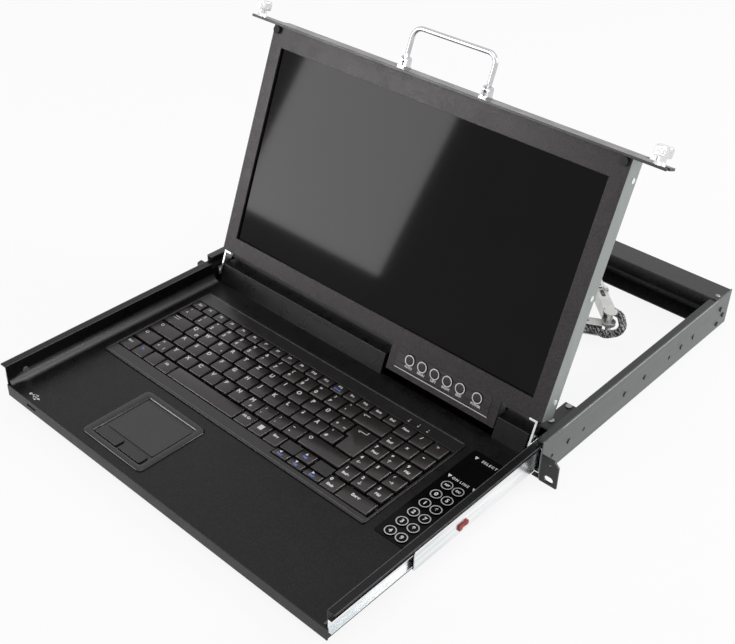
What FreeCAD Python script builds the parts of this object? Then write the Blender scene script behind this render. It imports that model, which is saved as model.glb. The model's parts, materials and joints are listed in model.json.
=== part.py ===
import FreeCAD, Part
import math
import os
import Sketcher

# Rackmount LCD console drawer, 1U high, drawn pulled out with the display open.
# Frame: origin midway between the two rack slots, on the front face of the rack ears.
# X runs to the right, Y to the back of the rack and Z up. All sizes are in millimetres.

doc = FreeCAD.newDocument("lcd_console_drawer")
dims = doc.addObject("Spreadsheet::Sheet", "dims")
nodes = []
rows = []
V = FreeCAD.Vector

# Helpers for the spreadsheet and for shapes whose sizes are bound to it


def sizes(**entries):
    """Write named sizes to the sheet. A text that starts with = is worked out by the sheet."""
    for alias, entry in entries.items():
        rows.append(alias)
        row = len(rows)
        dims.set("A%d" % row, alias)
        dims.set("B%d" % row, str(entry))
        dims.setAlias("B%d" % row, alias)
    doc.recompute()


def value(term):
    return float(dims.evalExpression(str(term)))


# Tray pieces are drawn from the tray's front edge and underside, screen pieces from the hinge axis.
sizes(gauge=1.2, bend_in=0.8, bend_out="=bend_in + gauge", gap=0.3,
      tray_front=-261.5, tray_base=-2.4, hinge_y=269.5, hinge_z=21.5, screen_tilt=20.4)

# Chassis sides: bent C sections of zinc steel with inward flanges
sizes(chassis_half=223, chassis_long=343.5, chassis_low=-4.9, chassis_top=36.6, flange=8,
      top_flange_end=309, low_flange_end=314, rail_z=14.1, side_hole_z=11.6, rivet=1.6, side_hole=2.3)

# Rack ears: 2 mm plates with an oval slot and the threaded hole that takes the thumbscrew
sizes(ear=2, rack_half=241.3, slot_x=232.55, slot_half=3.5, slot_long=10, hole_rise=15.875,
      thread=1.65, ear_low=-6.1, ear_high=23.1, ear_cut=5, leg=1.5, leg_long=14, leg_low=-6.1,
      leg_high=10.6)

# Rear channel: a bent C, open to the front, with an opening for the connector
sizes(rear_top_y=312.5, rear_low_y=317.5, tab_y=328, socket_x0=-148, socket_x1=-112,
      socket_z0=18.5, socket_z1=29.5)

# Telescopic slides: three rails a side. Balls run in the gaps between their flanges.
sizes(rail=1, ball_gap=2.8, ball=1.35, tray_half=213,
      outer_high=29, outer_start=1.5, outer_end=310, outer_in=213.9, race_lip=0.8, race_deep=1.2,
      middle_high="=outer_high - 2 * rail - 2 * ball_gap", middle_out=218.4, middle_in=214.3,
      middle_start=-166.5, middle_end=141.5,
      inner_high="=middle_high - 2 * rail - 2 * ball_gap", inner_out=216.9,
      inner_start="=tray_front + 1", inner_end=38.5, cage=0.8, cage_wide=2.2)

# Ball cages: thin strips that carry the balls, eight in all
sizes(outer_ball_x=216.4, inner_ball_x=215.75, cage_from=6, cage_to=134, inner_cage_from=-150,
      inner_cage_to=32, ball_step=21)

# Release levers: small bent tabs between the middle and the outer rail
sizes(lever_y0=-111, lever_y1=-99, lever_z0=9.6, lever_z1=13.4, lever_x0="=middle_out + 0.3",
      lever_thick=1.5, lever_tab_long=4, lever_tab_deep=1.5, lever_pivot_y=-101.5, lever_pivot_z=11.5,
      lever_pin=1.9, lever_pin_high=0.25)

# Rivets that hold the outer rails, and the end screws of the rear channel
sizes(rivet_head=2.8, rivet_high=0.9, end_head=2.6, end_high=1.4)

# Tray: a floor bent up into side walls with outward flanges, and two tongues at the back
sizes(tray_long=330, tray_high=33.3, wall_top=31.9, tray_flange=220.4, tongue_x=200, wall_y="=293 - gauge",
      cable_x0=-205, cable_x1=-173, cable_z0=6, cable_z1=24, cable_corner=4)

# Deck: the raised sheet around the keyboard, with its front lip and openings
sizes(deck=12.9, deck_end=264, usb_x0=-181.4, usb_x1=-167.8, usb_z0=4.9, usb_z1=8,
      kb_x0=-193.8, kb_x1=158.6, kb_y0=99.1, kb_y1=238.5, seat=2,
      pad_x0=-107.8, pad_x1=-24.3, pad_y0=9.9, pad_y1=86.8,
      port_x0=168, port_x1=202, port_y0=101.3, port_y1=237.7, port_seat=1.5,
      hole_corner=3)

# Keyboard: frame, plate with a guide hole under every key, and the keys with their stems
sizes(well_x0=-190.4, well_x1=156.3, well_y0=106.5, well_y1=220.9, well_step_x=38, well_step_y=113.2,
      frame_top=14.3, plate_low=8.3,
      plate_top=9.3, key_low=12.6, key_top=15.4, key_taper=0.55, stem=1.7, stem_room=0.35,
      stem_low=8.6)

# Touchpad: raised bezel with a recess, the sensor pad and two buttons
sizes(bezel_top=14.2, recess_low=12.5, pad_floor=11.5, recess_x0=-100.4, recess_x1=-30.7,
      recess_y0=15.4, recess_y1=81.2, sense_x0=-96.8, sense_x1=-32.6, sense_y0=30.5, sense_y1=76.6,
      left_x0=-97.6, left_x1=-67.1, right_x0=-63.8, right_x1=-34, but_y0=16.8, but_y1=26.9,
      press=1, corner=5, sense_thick=0.7, but_corner=1.2, but_proud=0.1)

# Port panel: the plate with the display window, twelve round buttons and the board below
sizes(panel_top=13.5, port_button=5.55, port_room=0.3, button_top=14.6, button_low=10,
      board_low=5, board_top=6.6, switch_top=8.7, switch_half=3, foot_r=2.5,
      column_1=179.9, column_2=192.1, groove=0.8, groove_deep=0.4, groove_in=1.3,
      window_x0=175, window_x1=199, window_y0=201.9, window_y1=221.2, window_deep=0.3)

# Hinge covers: sloped hollow bars on both sides of the chin
sizes(cover_y0=261, cover_ridge=268.5, cover_y1=285, cover_top=33.1, cover_left=-203,
      cover_gap0=31.5, cover_gap1=168, cover_right=203)

# Rear cover: a U-shaped plate behind the hinge covers and over the tongues, with its screws
sizes(plate_low_z=31.9, rear_screw_x=206, rear_screw_1=298, rear_screw_2=326, screw=1.5,
      screw_head=3, head_high=1.2, cover_side=211.6, wall_screw_z=20.5)

# Hinge: zinc brackets on the tray floor, arms with pins on the screen
sizes(bracket_x=208.2, bracket_thick=2, bracket_y0=264.4, bracket_y1=276.6, bracket_top=28,
      bracket_foot=204, pin=3, pin_fit=0.05, pin_end=211, arm_x=204.8, arm_thick=2, arm_half=5,
      arm_foot=198, arm_top=25.7, arm_foot_back=10)

# Screen housing, drawn upright around the hinge axis: X across, Z up the screen, -Y to the user
sizes(lcd_half=210, lcd_low=25.7, lcd_high=270, face=-5.1, lcd_back=15.5, open_half=194.8,
      open_low=43.2, open_high=249.5, chin_x0=35.7, chin_x1=167, chin_low=-1.8, chin_back=6.5,
      glass_half=196.8, glass_low=41, glass_high=251.5, glass_front=-2.6, glass_back=-0.6,
      cell_half=198, cell_deep=7.6, side_screw=2.6, side_screw_y=9, side_screw_high=0.6,
      bumper=4, bumper_high=3.2, bumper_x=204, bumper_z=265.9)

# Screen controls: the label plate on the chin, five menu buttons and the power button
sizes(osd_x0=45, osd_x1=157.5, osd_z0=3.9, osd_z1=24.8, osd_button=5.6, osd_z=17.4, osd_thick=0.4,
      osd_long=4, osd_proud=1.5, osd_groove_in=1.1, power_x=142.5)

# Display board: a circuit board on four posts behind the panel, with two chips
sizes(card_half=70, card_y=10, card_thick=1.6, card_z0=100, card_z1=200, chip_high=1.8, post=3,
      post_in=6)

# Front panel: the plate along the top edge, which becomes the drawer's front when shut
sizes(plate_low_v=270, plate_thick=2.4, plate_front=-8.1, plate_back=18.8, ear_back=9.5,
      notch_x=229.8, notch_half=2.5, notch_corner=2.4, knob_y=-3.2, plate_half=213)

# Handle: chrome rod in two clevis brackets
sizes(leg_x=48.5, handle_rod=2.5, pivot_y=8.4, pivot_z=279.4, bar_rise=32, bend=10,
      cheek_in=44.5, cheek_out=52.5, cheek=2.5, cheek_half=4, cheek_base=6, cheek_base_high=1.6,
      pin_r=1.5, pin_long=8, eye_neck=6, eye_r=2.8, eye_wide=2.7, neck_in=0.3)

# Thumbscrews: knurled heads on the ears of the front panel
sizes(knob_r=7.2, knob_low=7.2, knob_high=16.2, knob_edge=0.8, collar_r=5.4, collar_high=3,
      neck_r=4.1, shank_r=1.5)

# Cable arm: its pivots on the back wall and on the tray, its two channels and the bundle inside
sizes(root_x=38.3, root_y=328.5, end_x=-152.5, end_y=70, rear_arm=149, front_arm=339,
      channel_wide=12, channel_high=14, channel_gap=0.3, upper_z=15.1, lower_z=-0.4, hub=7,
      hub_lap=1, elbow_pin=3, bore="=elbow_pin + pin_fit", spacer=5, slot_step=34, slot_margin=12,
      arm_slot=2.2, arm_slot_long=26, open_pivot=4.5)
sizes(cable_r=4.1, cable_offset=3, cable_start=30, cable_stop=22, cable_bend=9, lead_y=336.5,
      lead_bend=10, lead_turn=9)

# Pivot brackets of the arm, on the back wall and on the tray
sizes(root_plate=1, root_lid=1.5, root_top="=upper_z + channel_high + channel_gap",
      root_low="=upper_z - channel_gap - root_plate", root_half=9,
      link_z=16.5, link_thick=1.5, link_high=28, link_half=16, link_past=6, link_boss=5,
      link_boss_high=2)

# Rear socket: a flanged connector body through the back wall
sizes(socket_y=334, socket_mouth_y=338, socket_wall_x=4, socket_wall_z=2, socket_rim_x=5,
      socket_rim_z=2, socket_rim=1.2)

# USB socket: a bent shell around a tongue
sizes(usb_wall=0.8, usb_back=16, usb_mouth=14, usb_tongue_in=1.5, usb_tongue_low=0.4,
      usb_tongue_high=1.4)


# Where the folding arm's elbow is when the drawer is out

rear_length, front_length = value("dims.rear_arm"), value("dims.front_arm")
root = (value("dims.root_x"), value("dims.root_y"))
tip = (value("dims.end_x"), value("dims.end_y"))
reach = math.hypot(tip[0] - root[0], tip[1] - root[1])
swing = math.atan2(tip[1] - root[1], tip[0] - root[0])
swing += math.acos((rear_length ** 2 + reach ** 2 - front_length ** 2) / (2 * rear_length * reach))
elbow = (root[0] + rear_length * math.cos(swing), root[1] + rear_length * math.sin(swing))
fold = math.atan2(tip[1] - elbow[1], tip[0] - elbow[0])
sizes(rear_angle=round(math.degrees(swing), 4), front_angle=round(math.degrees(fold), 4),
      elbow_x=round(elbow[0], 4), elbow_y=round(elbow[1], 4))


TURN = {
    "x": FreeCAD.Rotation(FreeCAD.Vector(0, 1, 0), 90),
    "y": FreeCAD.Rotation(FreeCAD.Vector(1, 0, 0), -90),
    "z": FreeCAD.Rotation(),
}


def box(x, y, z, name="block"):
    """A block between pairs of limits along X, Y and Z."""
    block = doc.addObject("Part::Box", name)
    for prop, axis, span in (("Length", "x", x), ("Width", "y", y), ("Height", "z", z)):
        block.setExpression(prop, "(%s) - (%s)" % (span[1], span[0]))
        block.setExpression("Placement.Base." + axis, "%s" % span[0])
    return block


def rod(axis, start, radius, length, name="rod"):
    """A cylinder that begins at the point start and runs along the axis."""
    bar = doc.addObject("Part::Cylinder", name)
    bar.Placement = FreeCAD.Placement(FreeCAD.Vector(), TURN[axis])
    for letter, term in zip("xyz", start):
        bar.setExpression("Placement.Base." + letter, "%s" % term)
    bar.setExpression("Radius", "%s" % radius)
    bar.setExpression("Height", "%s" % length)
    return bar


def fuse(parts, name="joined"):
    joined = doc.addObject("Part::MultiFuse", name)
    joined.Shapes = parts
    return joined


def group(parts, name="set"):
    bundle = doc.addObject("Part::Compound", name)
    bundle.Links = parts
    return bundle


def cut(base, tools, name="cut"):
    result = doc.addObject("Part::Cut", name)
    result.Base = base
    result.Tool = tools[0] if len(tools) == 1 else group(tools)
    return result


def plane(body, letters):
    for feature in body.Origin.OriginFeatures:
        if feature.Role == letters + "_Plane":
            return feature


def sketch(body, letters, level, loops):
    """A constrained sketch on one of the body's planes. Each loop adds its own outline."""
    drawing = body.newObject("Sketcher::SketchObject", "outline")
    drawing.AttachmentSupport = [(plane(body, letters), "")]
    drawing.MapMode = "FlatFace"
    side = "-1 * (%s)" if letters == "XZ" else "1 * (%s)"
    drawing.setExpression("AttachmentOffset.Base.z", side % level)
    for loop in loops:
        loop(drawing)
    return drawing


def pin(drawing, kind, geo, point, term):
    index = drawing.addConstraint(Sketcher.Constraint(kind, -1, 1, geo, point, value(term)))
    drawing.setExpression("Constraints[%d]" % index, "%s" % term)


def radius(drawing, geo, term):
    index = drawing.addConstraint(Sketcher.Constraint("Radius", geo, value(term)))
    drawing.setExpression("Constraints[%d]" % index, "%s" % term)


def poly(*corners):
    def loop(drawing):
        points = [FreeCAD.Vector(value(a), value(b), 0) for a, b in corners]
        first = drawing.GeometryCount
        count = len(points)
        for i in range(count):
            drawing.addGeometry(Part.LineSegment(points[i], points[(i + 1) % count]), False)
        for i, (a, b) in enumerate(corners):
            after = first + (i + 1) % count
            drawing.addConstraint(Sketcher.Constraint("Coincident", first + i, 2, after, 1))
            pin(drawing, "DistanceX", first + i, 1, a)
            pin(drawing, "DistanceY", first + i, 1, b)
    return loop


def rect(a, b):
    return poly((a[0], b[0]), (a[1], b[0]), (a[1], b[1]), (a[0], b[1]))


def circle(a, b, size):
    def loop(drawing):
        centre = FreeCAD.Vector(value(a), value(b), 0)
        ring = Part.Circle(centre, FreeCAD.Vector(0, 0, 1), value(size))
        geo = drawing.addGeometry(ring, False)
        pin(drawing, "DistanceX", geo, 3, a)
        pin(drawing, "DistanceY", geo, 3, b)
        radius(drawing, geo, size)
    return loop


def slot(a, b, half, length):
    """A slot with round ends, its length along the sketch's first axis."""
    def loop(drawing):
        left = "%s - (%s) / 2 + %s" % (a, length, half)
        right = "%s + (%s) / 2 - %s" % (a, length, half)
        c1 = FreeCAD.Vector(value(left), value(b), 0)
        c2 = FreeCAD.Vector(value(right), value(b), 0)
        rad = value(half)
        up = FreeCAD.Vector(0, rad, 0)
        axis = FreeCAD.Vector(0, 0, 1)
        quarter = math.pi / 2
        arc1 = Part.ArcOfCircle(Part.Circle(c1, axis, rad), quarter, 3 * quarter)
        arc2 = Part.ArcOfCircle(Part.Circle(c2, axis, rad), -quarter, quarter)
        g = drawing.addGeometry([arc1, Part.LineSegment(c1 - up, c2 - up), arc2,
                                 Part.LineSegment(c2 + up, c1 + up)], False)
        drawing.addConstraint([
            Sketcher.Constraint("Tangent", g[0], 2, g[1], 1),
            Sketcher.Constraint("Tangent", g[1], 2, g[2], 1),
            Sketcher.Constraint("Tangent", g[2], 2, g[3], 1),
            Sketcher.Constraint("Tangent", g[3], 2, g[0], 1),
            Sketcher.Constraint("Equal", g[0], g[2]),
        ])
        pin(drawing, "DistanceX", g[0], 3, left)
        pin(drawing, "DistanceY", g[0], 3, b)
        pin(drawing, "DistanceX", g[2], 3, right)
        radius(drawing, g[0], half)
        drawing.addConstraint(Sketcher.Constraint("Horizontal", g[1]))
    return loop


def rounded(a, b, corner):
    """A rectangle with four equal round corners."""
    def loop(drawing):
        x0, x1 = value(a[0]), value(a[1])
        y0, y1 = value(b[0]), value(b[1])
        r = value(corner)
        axis = FreeCAD.Vector(0, 0, 1)
        centres = [(x1 - r, y0 + r, -90), (x1 - r, y1 - r, 0), (x0 + r, y1 - r, 90), (x0 + r, y0 + r, 180)]
        ends = [((x0 + r, y0), (x1 - r, y0)), ((x1, y0 + r), (x1, y1 - r)),
                ((x1 - r, y1), (x0 + r, y1)), ((x0, y1 - r), (x0, y0 + r))]
        g = []
        for (p, q), (cx, cy, start) in zip(ends, centres):
            line = Part.LineSegment(FreeCAD.Vector(p[0], p[1], 0), FreeCAD.Vector(q[0], q[1], 0))
            ring = Part.Circle(FreeCAD.Vector(cx, cy, 0), axis, r)
            arc = Part.ArcOfCircle(ring, math.radians(start), math.radians(start + 90))
            g.append(drawing.addGeometry(line, False))
            g.append(drawing.addGeometry(arc, False))
        for i in range(8):
            drawing.addConstraint(Sketcher.Constraint("Tangent", g[i], 2, g[(i + 1) % 8], 1))
        drawing.addConstraint(Sketcher.Constraint("Horizontal", g[0]))
        for i in (3, 5, 7):
            drawing.addConstraint(Sketcher.Constraint("Equal", g[1], g[i]))
        pin(drawing, "DistanceY", g[0], 1, b[0])
        pin(drawing, "DistanceX", g[2], 1, a[1])
        pin(drawing, "DistanceY", g[4], 1, b[1])
        pin(drawing, "DistanceX", g[6], 1, a[0])
        radius(drawing, g[1], corner)
    return loop


def new_body(name):
    return doc.addObject("PartDesign::Body", name)


def pad(body, letters, level, length, *loops):
    """Add material from the level along the plane's own positive axis."""
    feature = body.newObject("PartDesign::Pad", "pad")
    feature.Profile = sketch(body, letters, level, loops)
    feature.setExpression("Length", "%s" % length)
    feature.Reversed = letters == "XZ"
    return feature


def pocket(body, letters, level, length, *loops):
    """Remove material from the level along the plane's own positive axis."""
    doc.recompute()
    before = body.Shape.Volume
    feature = body.newObject("PartDesign::Pocket", "pocket")
    feature.Profile = sketch(body, letters, level, loops)
    feature.setExpression("Length", "%s" % length)
    feature.Reversed = letters != "XZ"
    doc.recompute()
    if body.Shape.Volume > before - 0.01:
        raise RuntimeError("a pocket of %s removes nothing" % body.Name)
    return feature


def round_bends(body, size, axis, spots):
    """Fillet the edges that run along the axis through the given two coordinates."""
    doc.recompute()
    base = body.Tip
    others = [k for k in range(3) if k != "xyz".index(axis)]
    names = []
    for a, b in spots:
        for number, edge in enumerate(base.Shape.Edges, 1):
            bounds = edge.BoundBox
            low = (bounds.XMin, bounds.YMin, bounds.ZMin)
            high = (bounds.XMax, bounds.YMax, bounds.ZMax)
            near = all(abs(low[k] - value(t)) < 0.01 and abs(high[k] - value(t)) < 0.01
                       for k, t in zip(others, (a, b)))
            if near:
                names.append("Edge%d" % number)
    feature = body.newObject("PartDesign::Fillet", "bend")
    feature.Base = (base, names)
    feature.setExpression("Radius", "%s" % size)
    return feature


def place(thing, where):
    """Move a finished piece from its own group's axes to the drawer's frame."""
    if where == "tray":
        thing.setExpression("Placement.Base.y", "dims.tray_front")
        thing.setExpression("Placement.Base.z", "dims.tray_base")
    if where == "screen":
        thing.Placement = FreeCAD.Placement(FreeCAD.Vector(), FreeCAD.Rotation(FreeCAD.Vector(1, 0, 0), -1))
        thing.setExpression("Placement.Base.y", "dims.tray_front + dims.hinge_y")
        thing.setExpression("Placement.Base.z", "dims.tray_base + dims.hinge_z")
        thing.setExpression("Placement.Rotation.Angle", "-dims.screen_tilt")


def node(thing, label, where="frame"):
    thing.Label = label
    place(thing, where)
    nodes.append(thing)
    return thing


def mirror(thing, label):
    """The left-hand twin of a right-hand piece."""
    twin = doc.addObject("Part::Mirroring", label)
    twin.Source = thing
    twin.Base = FreeCAD.Vector(0, 0, 0)
    twin.Normal = FreeCAD.Vector(1, 0, 0)
    twin.Label = label
    nodes.append(twin)
    return twin


# Chassis sides: bent C sections of zinc steel with inward flanges

RIVETS_Y = (44.5, 139.5, 176, 246.5, 270.7)
SIDE_HOLES_Y = (17, 68, 221.5)
web = "dims.chassis_half - dims.gauge"
lip = "dims.chassis_half - dims.flange"
top_in = "dims.chassis_top - dims.gauge"
low_in = "dims.chassis_low + dims.gauge"

side = new_body("right_side")
pad(side, "XZ", 0, "dims.chassis_long",
    poly(("dims.chassis_half", "dims.chassis_low"), ("dims.chassis_half", "dims.chassis_top"),
         (lip, "dims.chassis_top"), (lip, top_in), (web, top_in), (web, low_in),
         (lip, low_in), (lip, "dims.chassis_low")))
pocket(side, "XY", top_in, "dims.gauge",
       rect((lip, web), ("dims.top_flange_end", "dims.chassis_long")))
pocket(side, "XY", "dims.chassis_low", "dims.gauge",
       rect((lip, web), ("dims.low_flange_end", "dims.chassis_long")))
pocket(side, "YZ", web, "dims.gauge",
       *[circle(y, "dims.side_hole_z", "dims.side_hole") for y in SIDE_HOLES_Y],
       *[circle(y, "dims.side_hole_z", "dims.rivet") for y in RIVETS_Y])
right_side = node(side, "right_chassis_side")
mirror(right_side, "left_chassis_side")

# Rack ears: 2 mm plates with an oval slot and the threaded hole that takes the thumbscrew

ear = new_body("ear")
pad(ear, "XZ", 0, "dims.ear",
    poly(("dims.chassis_half", "dims.ear_low"), ("dims.rack_half", "dims.ear_low"),
         ("dims.rack_half", "dims.ear_high - dims.ear_cut"),
         ("dims.rack_half - dims.ear_cut", "dims.ear_high"), ("dims.chassis_half", "dims.ear_high")))
pad(ear, "XZ", "dims.ear", "dims.leg_long - dims.ear",
    rect(("dims.chassis_half", "dims.chassis_half + dims.leg"), ("dims.leg_low", "dims.leg_high")))
pocket(ear, "XZ", 0, "dims.ear", slot("dims.slot_x", 0, "dims.slot_half", "dims.slot_long"),
       circle("dims.slot_x", "dims.hole_rise", "dims.thread"))
right_ear = node(ear, "right_rack_ear")
mirror(right_ear, "left_rack_ear")

# Rear channel: a bent C, open to the front, screwed between the two sides

back_in = "dims.chassis_long - dims.gauge"
channel = new_body("channel")
pad(channel, "YZ", "-(%s)" % web, "2 * (%s)" % web,
    poly(("dims.rear_top_y", "dims.chassis_top"), ("dims.chassis_long", "dims.chassis_top"),
         ("dims.chassis_long", "dims.chassis_low"), ("dims.rear_low_y", "dims.chassis_low"),
         ("dims.rear_low_y", low_in), (back_in, low_in), (back_in, top_in), ("dims.rear_top_y", top_in)))
round_bends(channel, "dims.bend_out", "x",
            [("dims.chassis_long", "dims.chassis_top"), ("dims.chassis_long", "dims.chassis_low")])
round_bends(channel, "dims.bend_in", "x", [(back_in, top_in), (back_in, low_in)])
for start in (web + " - dims.gauge", "-(%s)" % web):
    pad(channel, "YZ", start, "dims.gauge", rect(("dims.tab_y", back_in), (low_in, top_in)))
pocket(channel, "XZ", back_in, "dims.gauge",
       rect(("dims.socket_x0", "dims.socket_x1"), ("dims.socket_z0", "dims.socket_z1")))
node(channel, "rear_channel")

# Telescopic slides: outer rail on the chassis, middle rail, inner rail on the tray.
# Balls run in the gaps between the flanges of neighbouring rails.


def rail_section(out, into, high, opens_outward):
    """A C-shaped rail section, its web on one side and its mouth on the other."""
    z0 = "dims.rail_z - %s / 2" % high
    z1 = "dims.rail_z + %s / 2" % high
    near, far = (into, out) if opens_outward else (out, into)
    sign = "+" if opens_outward else "-"
    inner = "%s %s dims.rail" % (near, sign)
    return poly((far, z0), (near, z0), (near, z1), (far, z1), (far, z1 + " - dims.rail"),
                (inner, z1 + " - dims.rail"), (inner, z0 + " + dims.rail"), (far, z0 + " + dims.rail"))


outer = new_body("outer_rail")
pad(outer, "XZ", "dims.outer_start", "dims.outer_end - dims.outer_start",
    rail_section(web, "dims.outer_in", "dims.outer_high", False))
for z in ("dims.rail_z - dims.outer_high / 2 + dims.rail",
          "dims.rail_z + dims.outer_high / 2 - dims.rail - dims.race_deep"):
    pad(outer, "XZ", "dims.outer_start", "dims.outer_end - dims.outer_start",
        rect(("dims.outer_in", "dims.outer_in + dims.race_lip"), (z, z + " + dims.race_deep")))
pocket(outer, "YZ", web + " - dims.rail", "dims.rail",
       *[circle(y, "dims.side_hole_z", "dims.rivet") for y in RIVETS_Y])
outer_rail = node(outer, "right_outer_slide")
mirror(outer_rail, "left_outer_slide")

middle = new_body("middle_rail")
pad(middle, "XZ", "dims.middle_start", "dims.middle_end - dims.middle_start",
    rail_section("dims.middle_out", "dims.middle_in", "dims.middle_high", False))
middle_rail = node(middle, "right_middle_slide")
mirror(middle_rail, "left_middle_slide")

inner = new_body("inner_rail")
pad(inner, "XZ", "dims.inner_start", "dims.inner_end - dims.inner_start",
    rail_section("dims.inner_out", "dims.tray_half", "dims.inner_high", True))
inner_rail = node(inner, "right_inner_slide")
mirror(inner_rail, "left_inner_slide")

# Ball cages: thin strips that carry the balls, eight in all


def ball_cage(x, z, y0, y1):
    strip = box(("%s - dims.cage_wide / 2" % x, "%s + dims.cage_wide / 2" % x), (y0, y1),
                ("%s - dims.cage / 2" % z, "%s + dims.cage / 2" % z), "cage")
    balls = []
    count = int((value(y1) - value(y0)) / value("dims.ball_step"))
    for i in range(count):
        bead = doc.addObject("Part::Sphere", "ball")
        bead.setExpression("Radius", "dims.ball")
        bead.setExpression("Placement.Base.x", x)
        bead.setExpression("Placement.Base.y", "%s + dims.ball_step * %s" % (y0, i + 0.5))
        bead.setExpression("Placement.Base.z", z)
        balls.append(bead)
    return fuse([strip] + balls, "cage")


cages = []
for sign in ("+", "-"):
    track = "dims.rail_z %s (dims.middle_high / 2 + dims.ball_gap / 2)" % sign
    cages.append(ball_cage("dims.outer_ball_x", track, "dims.cage_from", "dims.cage_to"))
    track = "dims.rail_z %s (dims.inner_high / 2 + dims.ball_gap / 2)" % sign
    cages.append(ball_cage("dims.inner_ball_x", track, "dims.inner_cage_from", "dims.inner_cage_to"))
right_cages = group(cages, "right_cages")
left_cages = doc.addObject("Part::Mirroring", "left_cages")
left_cages.Source = right_cages
left_cages.Normal = FreeCAD.Vector(1, 0, 0)
node(group([right_cages, left_cages], "cages"), "ball_cages")

# Release levers: small bent tabs between the middle and the outer rail

levers = []
for sign in (1, -1):
    x = "%d * (dims.lever_x0 + dims.lever_thick / 2)" % sign
    blade = box((x + " - dims.lever_thick / 2", x + " + dims.lever_thick / 2"),
                ("dims.lever_y0", "dims.lever_y1"), ("dims.lever_z0", "dims.lever_z1"), "blade")
    tab = box((x + " - dims.lever_thick / 2", x + " + dims.lever_thick / 2"),
              ("dims.lever_y0", "dims.lever_y0 + dims.lever_tab_long"),
              ("dims.lever_z0 - dims.lever_tab_deep", "dims.lever_z0"), "tab")
    start = "dims.lever_x0" if sign > 0 else "-dims.lever_x0 - dims.lever_thick - dims.lever_pin_high"
    rivet = rod("x", (start, "dims.lever_pivot_y", "dims.lever_pivot_z"), "dims.lever_pin",
                "dims.lever_thick + dims.lever_pin_high", "pivot")
    levers.append(fuse([blade, tab, rivet], "lever"))
node(group(levers, "levers"), "slide_levers")

# Rivets that hold the outer rails, and the end screws of the rear channel

END_SCREWS = ((325.8, 19.2), (334, 8.4), (324, 1.2))
fixings = []
for sign in (1, -1):
    for y in RIVETS_Y:
        start = "dims.chassis_half - dims.gauge - dims.rail" if sign > 0 else "-dims.chassis_half"
        shank = rod("x", (start, y, "dims.side_hole_z"), "dims.rivet", "dims.gauge + dims.rail", "shank")
        edge = "dims.chassis_half" if sign > 0 else "-dims.chassis_half - dims.rivet_high"
        head = rod("x", (edge, y, "dims.side_hole_z"), "dims.rivet_head", "dims.rivet_high", "head")
        fixings.append(fuse([shank, head], "rivet"))
    for y, z in END_SCREWS:
        edge = "dims.chassis_half" if sign > 0 else "-dims.chassis_half - dims.end_high"
        fixings.append(rod("x", (edge, y, z), "dims.end_head", "dims.end_high", "end_screw"))
node(group(fixings, "fixings"), "chassis_rivets")

# Tray: a floor bent up into side walls with outward flanges, and two tongues at the back

tray_in = "dims.tray_half - dims.gauge"
flange_low = "dims.tray_high - dims.gauge"
tray = new_body("tray")
pad(tray, "XZ", "dims.gauge", "dims.tray_long - dims.gauge",
    poly(("-dims.tray_flange", "dims.tray_high"), ("-dims.tray_flange", flange_low),
         ("-dims.tray_half", flange_low), ("-dims.tray_half", 0), ("dims.tray_half", 0),
         ("dims.tray_half", flange_low), ("dims.tray_flange", flange_low),
         ("dims.tray_flange", "dims.tray_high"), (tray_in, "dims.tray_high"), (tray_in, "dims.gauge"),
         ("-(%s)" % tray_in, "dims.gauge"), ("-(%s)" % tray_in, "dims.tray_high")))
round_bends(tray, "dims.bend_in", "y",
            [(tray_in, "dims.gauge"), ("-(%s)" % tray_in, "dims.gauge")])
round_bends(tray, "dims.bend_out", "y", [("dims.tray_half", 0), ("-dims.tray_half", 0)])
pocket(tray, "XY", 0, "dims.gauge",
       rect(("-dims.tongue_x", "dims.tongue_x"), ("dims.wall_y + dims.gauge", "dims.tray_long")))
pad(tray, "XZ", "dims.wall_y", "dims.gauge",
    rect(("-(%s)" % tray_in, tray_in), ("dims.gauge", "dims.wall_top")))
pocket(tray, "XZ", "dims.wall_y", "dims.gauge",
       rounded(("dims.cable_x0", "dims.cable_x1"), ("dims.cable_z0", "dims.cable_z1"), "dims.cable_corner"))
node(tray, "tray_pan", "tray")

# Deck: the raised sheet around the keyboard, with its front lip and openings

deck_low = "dims.deck - dims.gauge"
deck = new_body("deck")
pad(deck, "YZ", "-(%s)" % tray_in, "2 * (%s)" % tray_in,
    poly((0, 0), ("dims.gauge", 0), ("dims.gauge", deck_low), ("dims.deck_end - dims.gauge", deck_low),
         ("dims.deck_end - dims.gauge", "dims.gauge"), ("dims.deck_end", "dims.gauge"),
         ("dims.deck_end", "dims.deck"), (0, "dims.deck")))
for start in (tray_in, "-dims.tray_half"):
    pad(deck, "YZ", start, "dims.gauge", rect((0, "dims.gauge"), (0, "dims.deck")))
round_bends(deck, "dims.bend_in", "x", [(0, "dims.deck")])
pocket(deck, "XY", deck_low, "dims.gauge",
       rect(("dims.kb_x0 + dims.seat", "dims.kb_x1 - dims.seat"),
            ("dims.kb_y0 + dims.seat", "dims.kb_y1 - dims.seat")),
       rounded(("dims.pad_x0 + dims.seat", "dims.pad_x1 - dims.seat"),
               ("dims.pad_y0 + dims.seat", "dims.pad_y1 - dims.seat"), "dims.hole_corner"),
       rect(("dims.port_x0 + dims.port_seat", "dims.port_x1 - dims.port_seat"),
            ("dims.port_y0 + dims.port_seat", "dims.port_y1 - dims.port_seat")))
pocket(deck, "XZ", 0, "dims.gauge",
       rect(("dims.usb_x0", "dims.usb_x1"), ("dims.usb_z0", "dims.usb_z1")))
node(deck, "deck_plate", "tray")

# USB socket behind the opening in the lip, standing on the tray floor

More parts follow.
